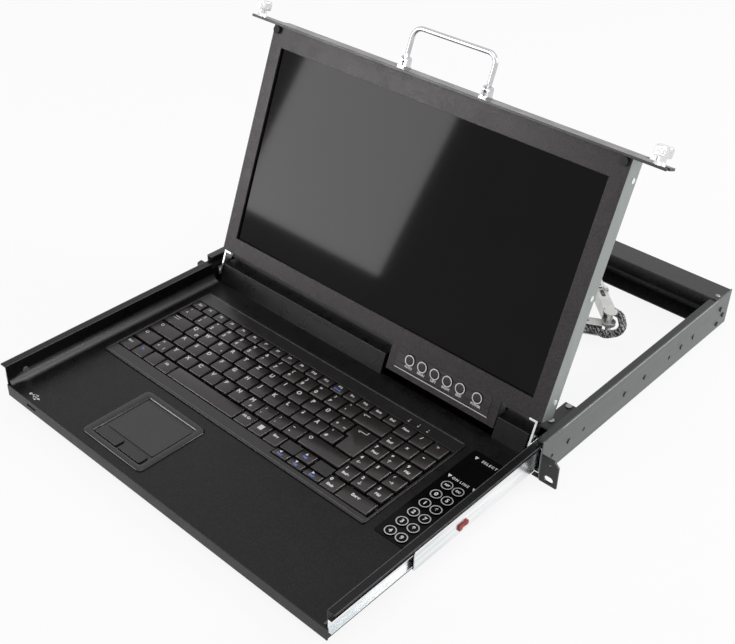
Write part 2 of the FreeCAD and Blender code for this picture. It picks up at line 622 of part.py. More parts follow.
usb_shell = box(("dims.usb_x0 - dims.usb_wall", "dims.usb_x1 + dims.usb_wall"),
                ("dims.gauge", "dims.usb_back"), ("dims.gauge", "dims.usb_z1 + dims.usb_wall"))
usb_mouth = box(("dims.usb_x0", "dims.usb_x1"), ("dims.gauge", "dims.usb_mouth"),
                ("dims.usb_z0", "dims.usb_z1"))
usb_tongue = box(("dims.usb_x0 + dims.usb_tongue_in", "dims.usb_x1 - dims.usb_tongue_in"),
                 ("dims.gauge + dims.usb_tongue_in", "dims.usb_mouth"),
                 ("dims.usb_z0 + dims.usb_tongue_low", "dims.usb_z0 + dims.usb_tongue_high"))
node(fuse([cut(usb_shell, [usb_mouth]), usb_tongue], "usb"), "usb_socket", "tray")

# Keyboard: frame, plate with a guide hole under every key, and the keys with their stems

frame = new_body("frame")
pad(frame, "XY", "dims.deck", "dims.frame_top - dims.deck",
    rounded(("dims.kb_x0", "dims.kb_x1"), ("dims.kb_y0", "dims.kb_y1"), 3))
pad(frame, "XY", "dims.plate_top", "dims.deck - dims.plate_top",
    rect(("dims.kb_x0 + dims.seat", "dims.kb_x1 - dims.seat"),
         ("dims.kb_y0 + dims.seat", "dims.kb_y1 - dims.seat")))
pocket(frame, "XY", "dims.plate_top", "dims.frame_top - dims.plate_top",
       poly(("dims.well_x0", "dims.well_step_y"), ("dims.well_step_x", "dims.well_step_y"),
            ("dims.well_step_x", "dims.well_y0"), ("dims.well_x1", "dims.well_y0"),
            ("dims.well_x1", "dims.well_y1"), ("dims.well_x0", "dims.well_y1")))
node(frame, "keyboard_frame", "tray")

# Key edges are plain numbers: left, right, front and back, row by row as the layout lies.
KEY_X = -189.7
UNIT = 18.76
CAP = 17.0
HIGH = 16.8


def fit_row(y, height, spans):
    """Keys of one row: each span gives a key's left and right edge."""
    return [(a, b, y - height / 2, y + height / 2) for a, b in spans]


def even(start, pitch, count, cap):
    return [(start + pitch * i, start + pitch * i + cap) for i in range(count)]


f_keys = fit_row(214.1, 11.4, even(KEY_X, 16.93, 17, 15.3))
numbers = fit_row(198.5, HIGH, [(KEY_X, KEY_X + 23.4)] + even(-164.6, UNIT, 12, CAP) + [(60.6, 97.0)])
letters_q = fit_row(179.5, HIGH, [(KEY_X, -157.9)] + even(-156.4, UNIT, 12, CAP))
letters_a = fit_row(160.9, HIGH, [(KEY_X, -153.8)] + even(-152.1, UNIT, 12, CAP))
letters_y = fit_row(141.9, HIGH, [(KEY_X, -163.4)] + even(-161.6, UNIT, 11, CAP) + [(45.4, 97.0)])
enter = [(69.7, 97.0, 171.1, 187.9), (74.4, 97.0, 152.5, 171.1)]
bottom = fit_row(122.4, HIGH, [(-189.7, -171.5), (-170.2, -153.1), (-151.6, -134.1), (-133.0, -115.4)])
bottom += fit_row(122.4, HIGH, [(-19.1, -1.6), (0.3, 17.7), (20.3, 37.3)])
space = fit_row(122.4, HIGH, [(-114.4, -20.9)])
arrows = fit_row(111.7, 8.2, [(39.0, 56.6), (58.2, 75.4), (78.0, 97.0)]) + [(58.2, 75.4, 118.0, 130.8)]
blanks = [(39.0, 56.6, 118.0, 130.8), (78.0, 97.0, 118.0, 130.8)]
PAD_X = (107.2, 126.0, 145.0)
PAD_Y = (211.3, 192.4, 173.2, 154.0, 135.1)
keypad = [(x - 8.6, x + 8.6, y - 8.4, y + 8.4) for y in PAD_Y for x in PAD_X]
keypad += [(98.6, 115.8, 107.2, 124.0), (117.4, 153.6, 107.2, 124.0)]


def stem_box(key, room, low, high):
    x = (key[0] + key[1]) / 2
    y = (key[2] + key[3]) / 2
    reach = "(dims.stem + %s)" % room
    return box(("%s - %s" % (x, reach), "%s + %s" % (x, reach)),
               ("%s - %s" % (y, reach), "%s + %s" % (y, reach)), (low, high), "stem")


def key_cap(key):
    """A tapered cap with a square stem that dips into its guide hole."""
    cap = doc.addObject("Part::Wedge", "cap")
    x0, x1, y0, y1 = key
    cap.Placement = FreeCAD.Placement(FreeCAD.Vector(), FreeCAD.Rotation(FreeCAD.Vector(1, 0, 0), 90))
    cap.Xmin, cap.Xmax, cap.Zmin, cap.Zmax = x0, x1, -y1, -y0
    cap.Ymin = 0
    cap.setExpression("Ymax", "dims.key_top - dims.key_low")
    cap.setExpression("X2min", "%s + dims.key_taper" % x0)
    cap.setExpression("X2max", "%s - dims.key_taper" % x1)
    cap.setExpression("Z2min", "%s + dims.key_taper" % -y1)
    cap.setExpression("Z2max", "%s - dims.key_taper" % -y0)
    cap.setExpression("Placement.Base.z", "dims.key_low")
    return cap


def key_set(keys):
    solids = []
    for key in keys:
        solids.append(fuse([key_cap(key), stem_box(key, 0, "dims.stem_low", "dims.key_low")], "key"))
    return solids


enter_key = fuse([key_cap(enter[0]), key_cap((enter[1][0], enter[1][1], 152.5, 172.5)),
                  stem_box(enter[0], 0, "dims.stem_low", "dims.key_low")], "enter_key")
typing = numbers + letters_q + letters_a + letters_y + bottom
node(group(key_set(f_keys), "f_keys"), "function_keys", "tray")
node(group(key_set(typing) + [enter_key], "typing"), "typing_keys", "tray")
node(key_set(space)[0], "space_bar", "tray")
node(group(key_set(arrows), "arrows"), "arrow_keys", "tray")
node(group(key_set(keypad), "keypad"), "keypad_keys", "tray")
guided = f_keys + typing + [enter[0]] + space + arrows + keypad
plate = box(("dims.kb_x0 + dims.seat", "dims.kb_x1 - dims.seat"),
            ("dims.kb_y0 + dims.seat", "dims.kb_y1 - dims.seat"), ("dims.plate_low", "dims.plate_top"))
holes = [stem_box(key, "dims.stem_room", "dims.plate_low - 1", "dims.plate_top + 1") for key in guided]
covers = [box((x0, x1), (y0, y1), ("dims.plate_top", "dims.frame_top")) for x0, x1, y0, y1 in blanks]
node(fuse([cut(plate, [group(holes)])] + covers, "switch_plate"), "key_switch_plate", "tray")

# Touchpad: raised bezel with a recess, the sensor pad and two buttons

bezel = new_body("pad_bezel")
pad(bezel, "XY", "dims.deck", "dims.bezel_top - dims.deck",
    rounded(("dims.pad_x0", "dims.pad_x1"), ("dims.pad_y0", "dims.pad_y1"), "dims.corner"))
pad(bezel, "XY", "dims.pad_floor", "dims.deck - dims.pad_floor",
    rounded(("dims.pad_x0 + dims.seat", "dims.pad_x1 - dims.seat"),
            ("dims.pad_y0 + dims.seat", "dims.pad_y1 - dims.seat"), 3))
pocket(bezel, "XY", "dims.recess_low", "dims.bezel_top - dims.recess_low",
       rounded(("dims.recess_x0", "dims.recess_x1"), ("dims.recess_y0", "dims.recess_y1"), 3))
pocket(bezel, "XY", "dims.pad_floor", "dims.recess_low - dims.pad_floor",
       *[rounded(("%s - dims.gap" % a, "%s + dims.gap" % b),
                 ("dims.but_y0 - dims.gap", "dims.but_y1 + dims.gap"), 1.5)
         for a, b in (("dims.left_x0", "dims.left_x1"), ("dims.right_x0", "dims.right_x1"))])
node(bezel, "touchpad_bezel", "tray")

sensor = new_body("sensor")
pad(sensor, "XY", "dims.recess_low", "dims.sense_thick",
    rounded(("dims.sense_x0", "dims.sense_x1"), ("dims.sense_y0", "dims.sense_y1"), 2))
node(sensor, "touchpad", "tray")

for label, a, b in (("left_pad_button", "dims.left_x0", "dims.left_x1"),
                    ("right_pad_button", "dims.right_x0", "dims.right_x1")):
    button = new_body(label)
    pad(button, "XY", "dims.pad_floor - dims.press",
        "dims.bezel_top - dims.but_proud - dims.pad_floor + dims.press",
        rounded((a, b), ("dims.but_y0", "dims.but_y1"), "dims.but_corner"))
    node(button, label, "tray")

# Port panel: the plate with the display window, twelve round buttons and the board below

PORT_Y = (183.1, 168.2, 153.3, 138.5, 123.8, 109.1)
port_spots = [(x, y) for y in PORT_Y for x in ("dims.column_1", "dims.column_2")]
panel = new_body("panel")
pad(panel, "XY", "dims.deck", "dims.panel_top - dims.deck",
    rounded(("dims.port_x0", "dims.port_x1"), ("dims.port_y0", "dims.port_y1"), 2))
pocket(panel, "XY", "dims.deck", "dims.panel_top - dims.deck",
       *[circle(x, y, "dims.port_button + dims.port_room") for x, y in port_spots])
pocket(panel, "XY", "dims.panel_top - dims.window_deep", "dims.window_deep",
       rect(("dims.window_x0", "dims.window_x1"), ("dims.window_y0", "dims.window_y1")))
node(panel, "port_panel", "tray")

caps = []
for x, y in port_spots:
    stud = rod("z", (x, y, "dims.button_low"), "dims.port_button", "dims.button_top - dims.button_low")
    bottom = (x, y, "dims.button_top - dims.groove_deep")
    wide = "dims.port_button - dims.groove_in"
    ring = cut(rod("z", bottom, wide, 1), [rod("z", bottom, wide + " - dims.groove", 1)])
    caps.append(cut(stud, [ring], "port_button"))
node(group(caps, "port_caps"), "port_buttons", "tray")

board = box(("dims.port_x0 + 1", "dims.port_x1 - 1"), ("dims.port_y0", "dims.port_y1"),
            ("dims.board_low", "dims.board_top"))
feet = [rod("z", (x, y, "dims.gauge"), "dims.foot_r", "dims.board_low - dims.gauge")
        for x in ("dims.port_x0 + 5", "dims.port_x1 - 5")
        for y in ("dims.port_y0 + 4", "dims.port_y1 - 4")]
switches = [box(("%s - dims.switch_half" % x, "%s + dims.switch_half" % x),
                ("%s - dims.switch_half" % y, "%s + dims.switch_half" % y),
                ("dims.board_top", "dims.switch_top")) for x, y in port_spots]
node(fuse([board] + feet + switches, "board"), "switch_board", "tray")

# Hinge covers: sloped hollow bars on both sides of the chin


def hinge_cover(label, x0, x1):
    cover = new_body(label)
    pad(cover, "YZ", x0, "(%s) - (%s)" % (x1, x0),
        poly(("dims.cover_y0", "dims.deck"), ("dims.cover_ridge", "dims.cover_top"),
             ("dims.cover_y1", "dims.cover_top"), ("dims.cover_y1", "dims.gauge"),
             ("dims.cover_y1 - dims.gauge", "dims.gauge"),
             ("dims.cover_y1 - dims.gauge", "dims.cover_top - dims.gauge"),
             ("dims.cover_ridge + 0.8", "dims.cover_top - dims.gauge"),
             ("dims.cover_y0 + 1.3", "dims.deck")))
    for start in (x0, "(%s) - dims.gauge" % x1):
        pad(cover, "YZ", start, "dims.gauge",
            poly(("dims.cover_y0 + 0.6", "dims.deck"),
                 ("dims.cover_ridge + 0.4", "dims.cover_top - 0.6"),
                 ("dims.cover_y1 - 0.6", "dims.cover_top - 0.6"),
                 ("dims.cover_y1 - 0.6", "dims.deck")))
    round_bends(cover, "dims.bend_in", "x", [("dims.cover_y1", "dims.cover_top")])
    return node(cover, label, "tray")


hinge_cover("left_hinge_cover", "dims.cover_left", "dims.cover_gap0")
hinge_cover("right_hinge_cover", "dims.cover_gap1", "dims.cover_right")

# Rear cover: a U-shaped plate behind the hinge covers and over the tongues, with its screws

rear = new_body("rear_plate")
pad(rear, "XY", "dims.plate_low_z", "dims.gauge",
    poly(("-dims.cover_side", "dims.cover_y1"), ("dims.cover_side", "dims.cover_y1"),
         ("dims.cover_side", "dims.tray_long"), ("dims.tongue_x", "dims.tray_long"),
         ("dims.tongue_x", "dims.wall_y + dims.gauge"), ("-dims.tongue_x", "dims.wall_y + dims.gauge"),
         ("-dims.tongue_x", "dims.tray_long"), ("-dims.cover_side", "dims.tray_long")))
rear_spots = [(sign + "dims.rear_screw_x", y) for sign in ("", "-")
              for y in ("dims.rear_screw_1", "dims.rear_screw_2")]
pocket(rear, "XY", "dims.plate_low_z", "dims.gauge", *[circle(x, y, "dims.screw") for x, y in rear_spots])
node(rear, "rear_cover", "tray")

screws = []
for x, y in rear_spots:
    shank = rod("z", (x, y, "dims.plate_low_z - 2"), "dims.screw", "dims.gauge + 2")
    head = rod("z", (x, y, "dims.plate_low_z + dims.gauge"), "dims.screw_head", "dims.head_high")
    screws.append(fuse([shank, head], "screw"))
WALL_SCREWS_Y = (21, 284)
for sign in (1, -1):
    for y in WALL_SCREWS_Y:
        start = "%s - dims.head_high" % tray_in if sign > 0 else "-(%s)" % tray_in
        spot = (start, y, "dims.wall_screw_z")
        screws.append(rod("x", spot, "dims.screw_head", "dims.head_high", "wall_screw"))
node(group(screws, "screws"), "tray_screws", "tray")

# Hinge: zinc brackets on the tray floor, arms with pins on the screen

brackets = []
for sign in (1, -1):
    def across(a, b):
        return (a, b) if sign > 0 else ("-(%s)" % b, "-(%s)" % a)
    blade = box(across("dims.bracket_x", "dims.bracket_x + dims.bracket_thick"),
                ("dims.bracket_y0", "dims.bracket_y1"), ("dims.gauge", "dims.bracket_top"))
    foot = box(across("dims.bracket_foot", "dims.bracket_x"), ("dims.bracket_y0", "dims.bracket_y1"),
               ("dims.gauge", "dims.gauge + dims.bracket_thick"))
    start = across("dims.bracket_x - 1", "dims.bracket_x + dims.bracket_thick + 1")[0]
    bore = rod("x", (start, "dims.hinge_y", "dims.hinge_z"), "dims.pin + dims.pin_fit",
               "dims.bracket_thick + 2")
    brackets.append(cut(fuse([blade, foot]), [bore], "bracket"))
node(group(brackets, "brackets"), "hinge_brackets", "tray")

arms = []
for sign in (1, -1):
    def across(a, b):
        return (a, b) if sign > 0 else ("-(%s)" % b, "-(%s)" % a)
    blade = box(across("dims.arm_x", "dims.arm_x + dims.arm_thick"), ("-dims.arm_half", "dims.arm_half"),
                ("0", "dims.arm_top"))
    eye = rod("x", (across("dims.arm_x", "dims.arm_x + dims.arm_thick")[0], 0, 0), "dims.arm_half",
              "dims.arm_thick")
    foot = box(across("dims.arm_foot", "dims.arm_x"), ("-dims.arm_half", "dims.arm_foot_back"),
               ("dims.arm_top - dims.arm_thick", "dims.arm_top"))
    start = across("dims.arm_x + dims.arm_thick", "dims.pin_end")[0]
    pivot = rod("x", (start, 0, 0), "dims.pin", "dims.pin_end - dims.arm_x - dims.arm_thick")
    arms.append(fuse([blade, eye, foot, pivot], "arm"))
node(group(arms, "arms"), "hinge_arms", "screen")

# Screen housing, drawn upright around the hinge axis: X across, Z up the screen, -Y to the user

face_in = "dims.face + dims.gauge"
screen = new_body("screen_bezel")
pad(screen, "XZ", "dims.face", "dims.gauge",
    poly(("-dims.lcd_half", "dims.lcd_low"), ("dims.chin_x0", "dims.lcd_low"),
         ("dims.chin_x0", "dims.chin_low"), ("dims.chin_x1", "dims.chin_low"),
         ("dims.chin_x1", "dims.lcd_low"), ("dims.lcd_half", "dims.lcd_low"),
         ("dims.lcd_half", "dims.lcd_high"), ("-dims.lcd_half", "dims.lcd_high")))
pad(screen, "XZ", face_in, "dims.glass_front - (%s)" % face_in,
    rect(("-dims.open_half - dims.gauge", "dims.open_half + dims.gauge"),
         ("dims.open_low - dims.gauge", "dims.open_high + dims.gauge")))
pocket(screen, "XZ", "dims.face", "dims.glass_front - dims.face",
       rect(("-dims.open_half", "dims.open_half"), ("dims.open_low", "dims.open_high")))

OSD_X = (61, 76.4, 91.8, 107.1, 122.5)
osd_holes = [circle(x, "dims.osd_z", "dims.osd_button + dims.gap") for x in OSD_X + ("dims.power_x",)]
pocket(screen, "XZ", "dims.face", "dims.gauge", *osd_holes)
node(screen, "lcd_bezel", "screen")

label_plate = new_body("label_plate")
pad(label_plate, "XZ", "dims.face - dims.osd_thick", "dims.osd_thick",
    rounded(("dims.osd_x0", "dims.osd_x1"), ("dims.osd_z0", "dims.osd_z1"), 2))
pocket(label_plate, "XZ", "dims.face - dims.osd_thick", "dims.osd_thick",
       *[circle(x, "dims.osd_z", "dims.osd_button + dims.gap") for x in OSD_X + ("dims.power_x",)])
node(label_plate, "osd_panel", "screen")


def osd_cap(x):
    tip = "dims.face - dims.osd_proud"
    stud = rod("y", (x, tip, "dims.osd_z"), "dims.osd_button", "dims.osd_long")
    outside = (x, tip + " - 1", "dims.osd_z")
    wide = "dims.osd_button - dims.osd_groove_in"
    deep = "1 + dims.groove_deep"
    ring = cut(rod("y", outside, wide, deep), [rod("y", outside, wide + " - dims.groove", deep)])
    return cut(stud, [ring], "osd_button")


node(group([osd_cap(x) for x in OSD_X], "osd_caps"), "osd_buttons", "screen")
node(osd_cap("dims.power_x"), "power_button", "screen")

housing = new_body("screen_shell")
back_low = "dims.lcd_back - dims.gauge"
pad(housing, "XZ", face_in, "dims.lcd_back - (%s)" % face_in,
    rect(("-dims.lcd_half", "dims.lcd_half"), ("dims.lcd_low", "dims.lcd_high")))
pocket(housing, "XZ", face_in, "dims.lcd_back - dims.gauge - (%s)" % face_in,
       rect(("-dims.lcd_half + dims.gauge", "dims.lcd_half - dims.gauge"),
            ("dims.lcd_low + dims.gauge", "dims.lcd_high - dims.gauge")))
pad(housing, "XZ", face_in, "dims.chin_back - (%s)" % face_in,
    poly(("dims.chin_x0", "dims.lcd_low"), ("dims.chin_x0", "dims.chin_low"),
         ("dims.chin_x1", "dims.chin_low"), ("dims.chin_x1", "dims.lcd_low"),
         ("dims.chin_x1 - dims.gauge", "dims.lcd_low"),
         ("dims.chin_x1 - dims.gauge", "dims.chin_low + dims.gauge"),
         ("dims.chin_x0 + dims.gauge", "dims.chin_low + dims.gauge"),
         ("dims.chin_x0 + dims.gauge", "dims.lcd_low")))
pad(housing, "XZ", "dims.chin_back - dims.gauge", "dims.gauge",
    rect(("dims.chin_x0", "dims.chin_x1"), ("dims.chin_low", "dims.lcd_low")))
node(housing, "lcd_housing", "screen")

glass = new_body("glass")
pad(glass, "XZ", "dims.glass_front", "dims.glass_back - dims.glass_front",
    rect(("-dims.glass_half", "dims.glass_half"), ("dims.glass_low", "dims.glass_high")))
pad(glass, "XZ", "dims.glass_back", "dims.cell_deep",
    rect(("-dims.cell_half", "dims.cell_half"), ("dims.glass_low - 1", "dims.glass_high + 1")))
node(glass, "lcd_panel", "screen")

# Display board

card_back = "dims.card_y + dims.card_thick"
driver = box(("-dims.card_half", "dims.card_half"), ("dims.card_y", card_back),
             ("dims.card_z0", "dims.card_z1"))
CHIPS = ((-60, -20, 110, 130), (10, 34, 150, 174))
chips = [box((x0, x1), ("dims.card_y - dims.chip_high", "dims.card_y"), (z0, z1))
         for x0, x1, z0, z1 in CHIPS]
posts = [rod("y", (x, card_back, z), "dims.post", "%s - (%s)" % (back_low, card_back))
         for x in ("dims.post_in - dims.card_half", "dims.card_half - dims.post_in")
         for z in ("dims.card_z0 + dims.post_in", "dims.card_z1 - dims.post_in")]
node(fuse([driver] + chips + posts, "driver"), "display_board", "screen")

# Screws in the screen's sides and rubber bumpers on its face

SIDE_SCREWS = (250.8, 144.4, 43.7)
heads = []
for z in SIDE_SCREWS:
    for start in ("dims.lcd_half", "-dims.lcd_half - dims.side_screw_high"):
        heads.append(rod("x", (start, "dims.side_screw_y", z), "dims.side_screw",
                         "dims.side_screw_high", "side_screw"))
node(group(heads, "side_screws"), "display_screws", "screen")

bumps = [rod("y", (x, "dims.face - dims.bumper_high", "dims.bumper_z"), "dims.bumper",
             "dims.bumper_high", "bumper") for x in ("-dims.bumper_x", "dims.bumper_x")]
node(group(bumps, "bumps"), "bezel_bumpers", "screen")

# Front panel: the plate along the top edge, which becomes the drawer's front when shut

front = new_body("front_plate")
pad(front, "XY", "dims.plate_low_v", "dims.plate_thick",
    poly(("-dims.rack_half", "dims.plate_front"), ("dims.rack_half", "dims.plate_front"),
         ("dims.rack_half", "dims.ear_back"), ("dims.plate_half", "dims.ear_back"),
         ("dims.plate_half", "dims.plate_back"), ("-dims.plate_half", "dims.plate_back"),
         ("-dims.plate_half", "dims.ear_back"), ("-dims.rack_half", "dims.ear_back")))
pocket(front, "XY", "dims.plate_low_v", "dims.plate_thick",
       rounded(("dims.notch_x", "dims.rack_half + 3"),
               ("dims.knob_y - dims.notch_half", "dims.knob_y + dims.notch_half"), "dims.notch_corner"),
       rounded(("-dims.rack_half - 3", "-dims.notch_x"),
               ("dims.knob_y - dims.notch_half", "dims.knob_y + dims.notch_half"), "dims.notch_corner"))
node(front, "front_panel", "screen")

# Handle: chrome rod in two clevis brackets

plate_top = "dims.plate_low_v + dims.plate_thick"
cheeks = []
for sign in (1, -1):
    def across(a, b):
        return (a, b) if sign > 0 else ("-(%s)" % b, "-(%s)" % a)
    base = box(across("dims.cheek_in", "dims.cheek_out"),
               ("dims.pivot_y - dims.cheek_base", "dims.pivot_y + dims.cheek_base"),
               (plate_top, plate_top + " + dims.cheek_base_high"))
    sides = []
    for a in ("dims.cheek_in", "dims.cheek_out - dims.cheek"):
        b = "%s + dims.cheek" % a
        blade = box(across(a, b), ("dims.pivot_y - dims.cheek_half", "dims.pivot_y + dims.cheek_half"),
                    (plate_top, "dims.pivot_z"))
        lug = rod("x", (across(a, b)[0], "dims.pivot_y", "dims.pivot_z"), "dims.cheek_half", "dims.cheek")
        sides += [blade, lug]
    start = across("dims.cheek_in - 1", "dims.cheek_out + 1")[0]
    bore = rod("x", (start, "dims.pivot_y", "dims.pivot_z"), "dims.pin_r + dims.pin_fit",
               "dims.cheek_out - dims.cheek_in + 2")
    cheeks.append(cut(fuse([base] + sides), [bore], "clevis"))
node(group(cheeks, "clevises"), "handle_brackets", "screen")

bar_z = "dims.pivot_z + dims.bar_rise"
bow = new_body("handle_rod")
path = bow.newObject("Sketcher::SketchObject", "centre_line")
path.AttachmentSupport = [(plane(bow, "XZ"), "")]
path.MapMode = "FlatFace"
path.setExpression("AttachmentOffset.Base.z", "-dims.pivot_y")
leg_end = "dims.pivot_z + dims.eye_neck"
x, z0, z1, r = value("dims.leg_x"), value(leg_end), value(bar_z), value("dims.bend")
up = FreeCAD.Vector(0, 0, 1)
left_arc = Part.ArcOfCircle(Part.Circle(V(-x + r, z1 - r, 0), up, r), math.pi / 2, math.pi)
right_arc = Part.ArcOfCircle(Part.Circle(V(x - r, z1 - r, 0), up, r), 0, math.pi / 2)
g = path.addGeometry([Part.LineSegment(V(-x, z0, 0), V(-x, z1 - r, 0)), left_arc,
                      Part.LineSegment(V(-x + r, z1, 0), V(x - r, z1, 0)), right_arc,
                      Part.LineSegment(V(x, z1 - r, 0), V(x, z0, 0))], False)
path.addConstraint([Sketcher.Constraint("Tangent", g[0], 2, g[1], 2),
                    Sketcher.Constraint("Tangent", g[1], 1, g[2], 1),
                    Sketcher.Constraint("Tangent", g[2], 2, g[3], 2),
                    Sketcher.Constraint("Tangent", g[3], 1, g[4], 1),
                    Sketcher.Constraint("Equal", g[1], g[3]),
                    Sketcher.Constraint("Vertical", g[0]),
                    Sketcher.Constraint("Vertical", g[4])])
pin(path, "DistanceX", g[0], 1, "-dims.leg_x")
pin(path, "DistanceY", g[0], 1, leg_end)
pin(path, "DistanceX", g[4], 2, "dims.leg_x")
pin(path, "DistanceY", g[4], 2, leg_end)
pin(path, "DistanceY", g[2], 1, bar_z)
radius(path, g[1], "dims.bend")
section = bow.newObject("Sketcher::SketchObject", "section")
section.AttachmentSupport = [(plane(bow, "XY"), "")]
section.MapMode = "FlatFace"
section.setExpression("AttachmentOffset.Base.z", leg_end)
circle("-dims.leg_x", "dims.pivot_y", "dims.handle_rod")(section)
pipe = bow.newObject("PartDesign::AdditivePipe", "rod")
pipe.Profile = section
pipe.Spine = path
doc.recompute()
joint_ends = []
for sign in ("", "-"):
    middle = sign + "dims.leg_x"
    span = (middle + " - dims.eye_wide / 2", middle + " + dims.eye_wide / 2")
    joint_ends.append(rod("x", (span[0], "dims.pivot_y", "dims.pivot_z"), "dims.eye_r",
                          "dims.eye_wide", "eye"))
    joint_ends.append(box(span, ("dims.pivot_y - dims.handle_rod + dims.neck_in",
                                 "dims.pivot_y + dims.handle_rod - dims.neck_in"),
                          ("dims.pivot_z", leg_end), "neck"))
    joint_ends.append(rod("x", (middle + " - dims.pin_long / 2", "dims.pivot_y", "dims.pivot_z"),
                          "dims.pin_r", "dims.pin_long", "axle"))
node(fuse([bow] + joint_ends, "handle_set"), "handle", "screen")

# Thumbscrews: knurled heads on the ears of the front panel


def cone(x, z, low_r, top_r, high, name):
    """A cone that stands on the front panel's ear, around a thumbscrew's axis."""
    taper = doc.addObject("Part::Cone", name)
    taper.setExpression("Radius1", low_r)
    taper.setExpression("Radius2", top_r)
    taper.setExpression("Height", high)
    for letter, term in (("x", x), ("y", "dims.knob_y"), ("z", z)):
        taper.setExpression("Placement.Base." + letter, term)
    return taper


for label, x in (("right_thumbscrew", "dims.slot_x"), ("left_thumbscrew", "-dims.slot_x")):
    collar = cone(x, plate_top, "dims.collar_r", "dims.neck_r", "dims.collar_high", "collar")
    shank = rod("z", (x, "dims.knob_y", "dims.plate_low_v"), "dims.shank_r", "dims.plate_thick")
    neck = rod("z", (x, "dims.knob_y", plate_top), "dims.neck_r", "dims.knob_low")
    head = rod("z", (x, "dims.knob_y", plate_top + " + dims.knob_low"), "dims.knob_r",
               "dims.knob_high - dims.knob_low - dims.knob_edge")
    rim = cone(x, plate_top + " + dims.knob_high - dims.knob_edge", "dims.knob_r",
               "dims.knob_r - dims.knob_edge", "dims.knob_edge", "rim")
    node(fuse([shank, collar, neck, head, rim], label), label, "screen")

# Cable arm: two slotted channels that fold behind the tray, with the cable bundle inside.
# Both are drawn along X from their own pivot and then turned into place.


def turn(thing, x, y, angle):
    thing.setExpression("Placement.Base.x", x)
    thing.setExpression("Placement.Base.y", y)
    thing.setExpression("Placement.Rotation.Angle", angle)
    return thing


def arm_channel(name, length, low):
    """A C channel, open on its +Y side, with long slots in its flanges and hubs at both ends."""
    channel = new_body(name)
    open_y, web_y = "dims.channel_wide / 2", "-dims.channel_wide / 2"
    web_in = web_y + " + dims.gauge"
    z0, z1 = low, low + " + dims.channel_high"
    pad(channel, "YZ", "dims.hub - dims.hub_lap", "%s - 2 * dims.hub + 2 * dims.hub_lap" % length,
        poly((open_y, z0), (web_y, z0), (web_y, z1), (open_y, z1), (open_y, z1 + " - dims.gauge"),
             (web_in, z1 + " - dims.gauge"), (web_in, z0 + " + dims.gauge"),
             (open_y, z0 + " + dims.gauge")))
    count = int((value(length) - 2 * value("dims.slot_margin")) / value("dims.slot_step"))
    slots = []
    for i in range(count):
        centre = "%s / 2 + %s * dims.slot_step" % (length, i - (count - 1) / 2)
        slots.append(slot(centre, 0, "dims.arm_slot", "dims.arm_slot_long"))
    pocket(channel, "XY", z0, "dims.gauge", *slots)
    pocket(channel, "XY", z1 + " - dims.gauge", "dims.gauge", *slots)
    for x in (0, length):
        for z in (z0, z1 + " - dims.gauge"):
            pad(channel, "XY", z, "dims.gauge", circle(x, 0, "dims.hub"))
    return channel


rear_arm = arm_channel("rear_arm_channel", "dims.rear_arm", "dims.upper_z")
for z in ("dims.upper_z", "dims.upper_z + dims.channel_high - dims.gauge"):
    pocket(rear_arm, "XY", z, "dims.gauge", circle(0, 0, "dims.bore"))
pad(rear_arm, "XY", "dims.upper_z", "dims.channel_high", circle("dims.rear_arm", 0, "dims.elbow_pin"))
pad(rear_arm, "XY", "dims.lower_z", "dims.upper_z - dims.lower_z",
    circle("dims.rear_arm", 0, "dims.elbow_pin"))
pad(rear_arm, "XY", "dims.lower_z + dims.channel_high + dims.channel_gap",
    "dims.upper_z - dims.lower_z - dims.channel_high - dims.channel_gap",
    circle("dims.rear_arm", 0, "dims.spacer"))
doc.recompute()
node(turn(rear_arm, "dims.root_x", "dims.root_y", "dims.rear_angle"), "rear_arm")

front_arm = arm_channel("front_arm_channel", "dims.front_arm", "dims.lower_z")
for z in ("dims.lower_z", "dims.lower_z + dims.channel_high - dims.gauge"):
    pocket(front_arm, "XY", z, "dims.gauge", circle(0, 0, "dims.bore"))
    pocket(front_arm, "XY", z, "dims.gauge", circle("dims.front_arm", 0, "dims.open_pivot"))
doc.recompute()
node(turn(front_arm, "dims.elbow_x", "dims.elbow_y", "dims.front_angle"), "front_arm")

# Pivot brackets of the arm, on the back wall and on the tray

root_x = ("dims.root_x - dims.root_half", "dims.root_x + dims.root_half")
root_y = ("dims.root_y - dims.root_half", back_in)
lid_top = "dims.root_top + dims.root_lid"
plates = [box(root_x, root_y, ("dims.root_top", lid_top)),
          box(root_x, root_y, ("dims.root_low", "dims.root_low + dims.root_plate")),
          box(root_x, (back_in + " - dims.root_lid", back_in), ("dims.root_low", lid_top)),
          rod("z", ("dims.root_x", "dims.root_y", "dims.root_low"), "dims.elbow_pin",
              lid_top + " - dims.root_low")]
node(fuse(plates, "root"), "arm_rear_bracket")

wall_back = "dims.wall_y + dims.gauge"
link_x = ("dims.end_x - dims.link_half", "dims.end_x + dims.link_half")
pivot_y = "dims.end_y - dims.tray_front"
link_top = "dims.link_z + dims.link_thick"
link = [box(link_x, (wall_back, pivot_y + " + dims.link_past"), ("dims.link_z", link_top)),
        box(link_x, (wall_back, wall_back + " + dims.link_thick"), ("dims.link_z", "dims.link_high")),
        rod("z", ("dims.end_x", pivot_y, link_top), "dims.link_boss", "dims.link_boss_high")]
node(fuse(link, "link"), "arm_tray_bracket", "tray")

# Cable bundle: one run in each arm, a loop at the elbow and a tail to the rear socket

rear_dir = V(math.cos(swing), math.sin(swing), 0)
front_dir = V(math.cos(fold), math.sin(fold), 0)


def beside(origin, direction, along, offset, z):
    """A point along an arm, the offset measured to its open side."""
    return V(origin[0] + direction.x * along - direction.y * offset,
             origin[1] + direction.y * along + direction.x * offset, z)


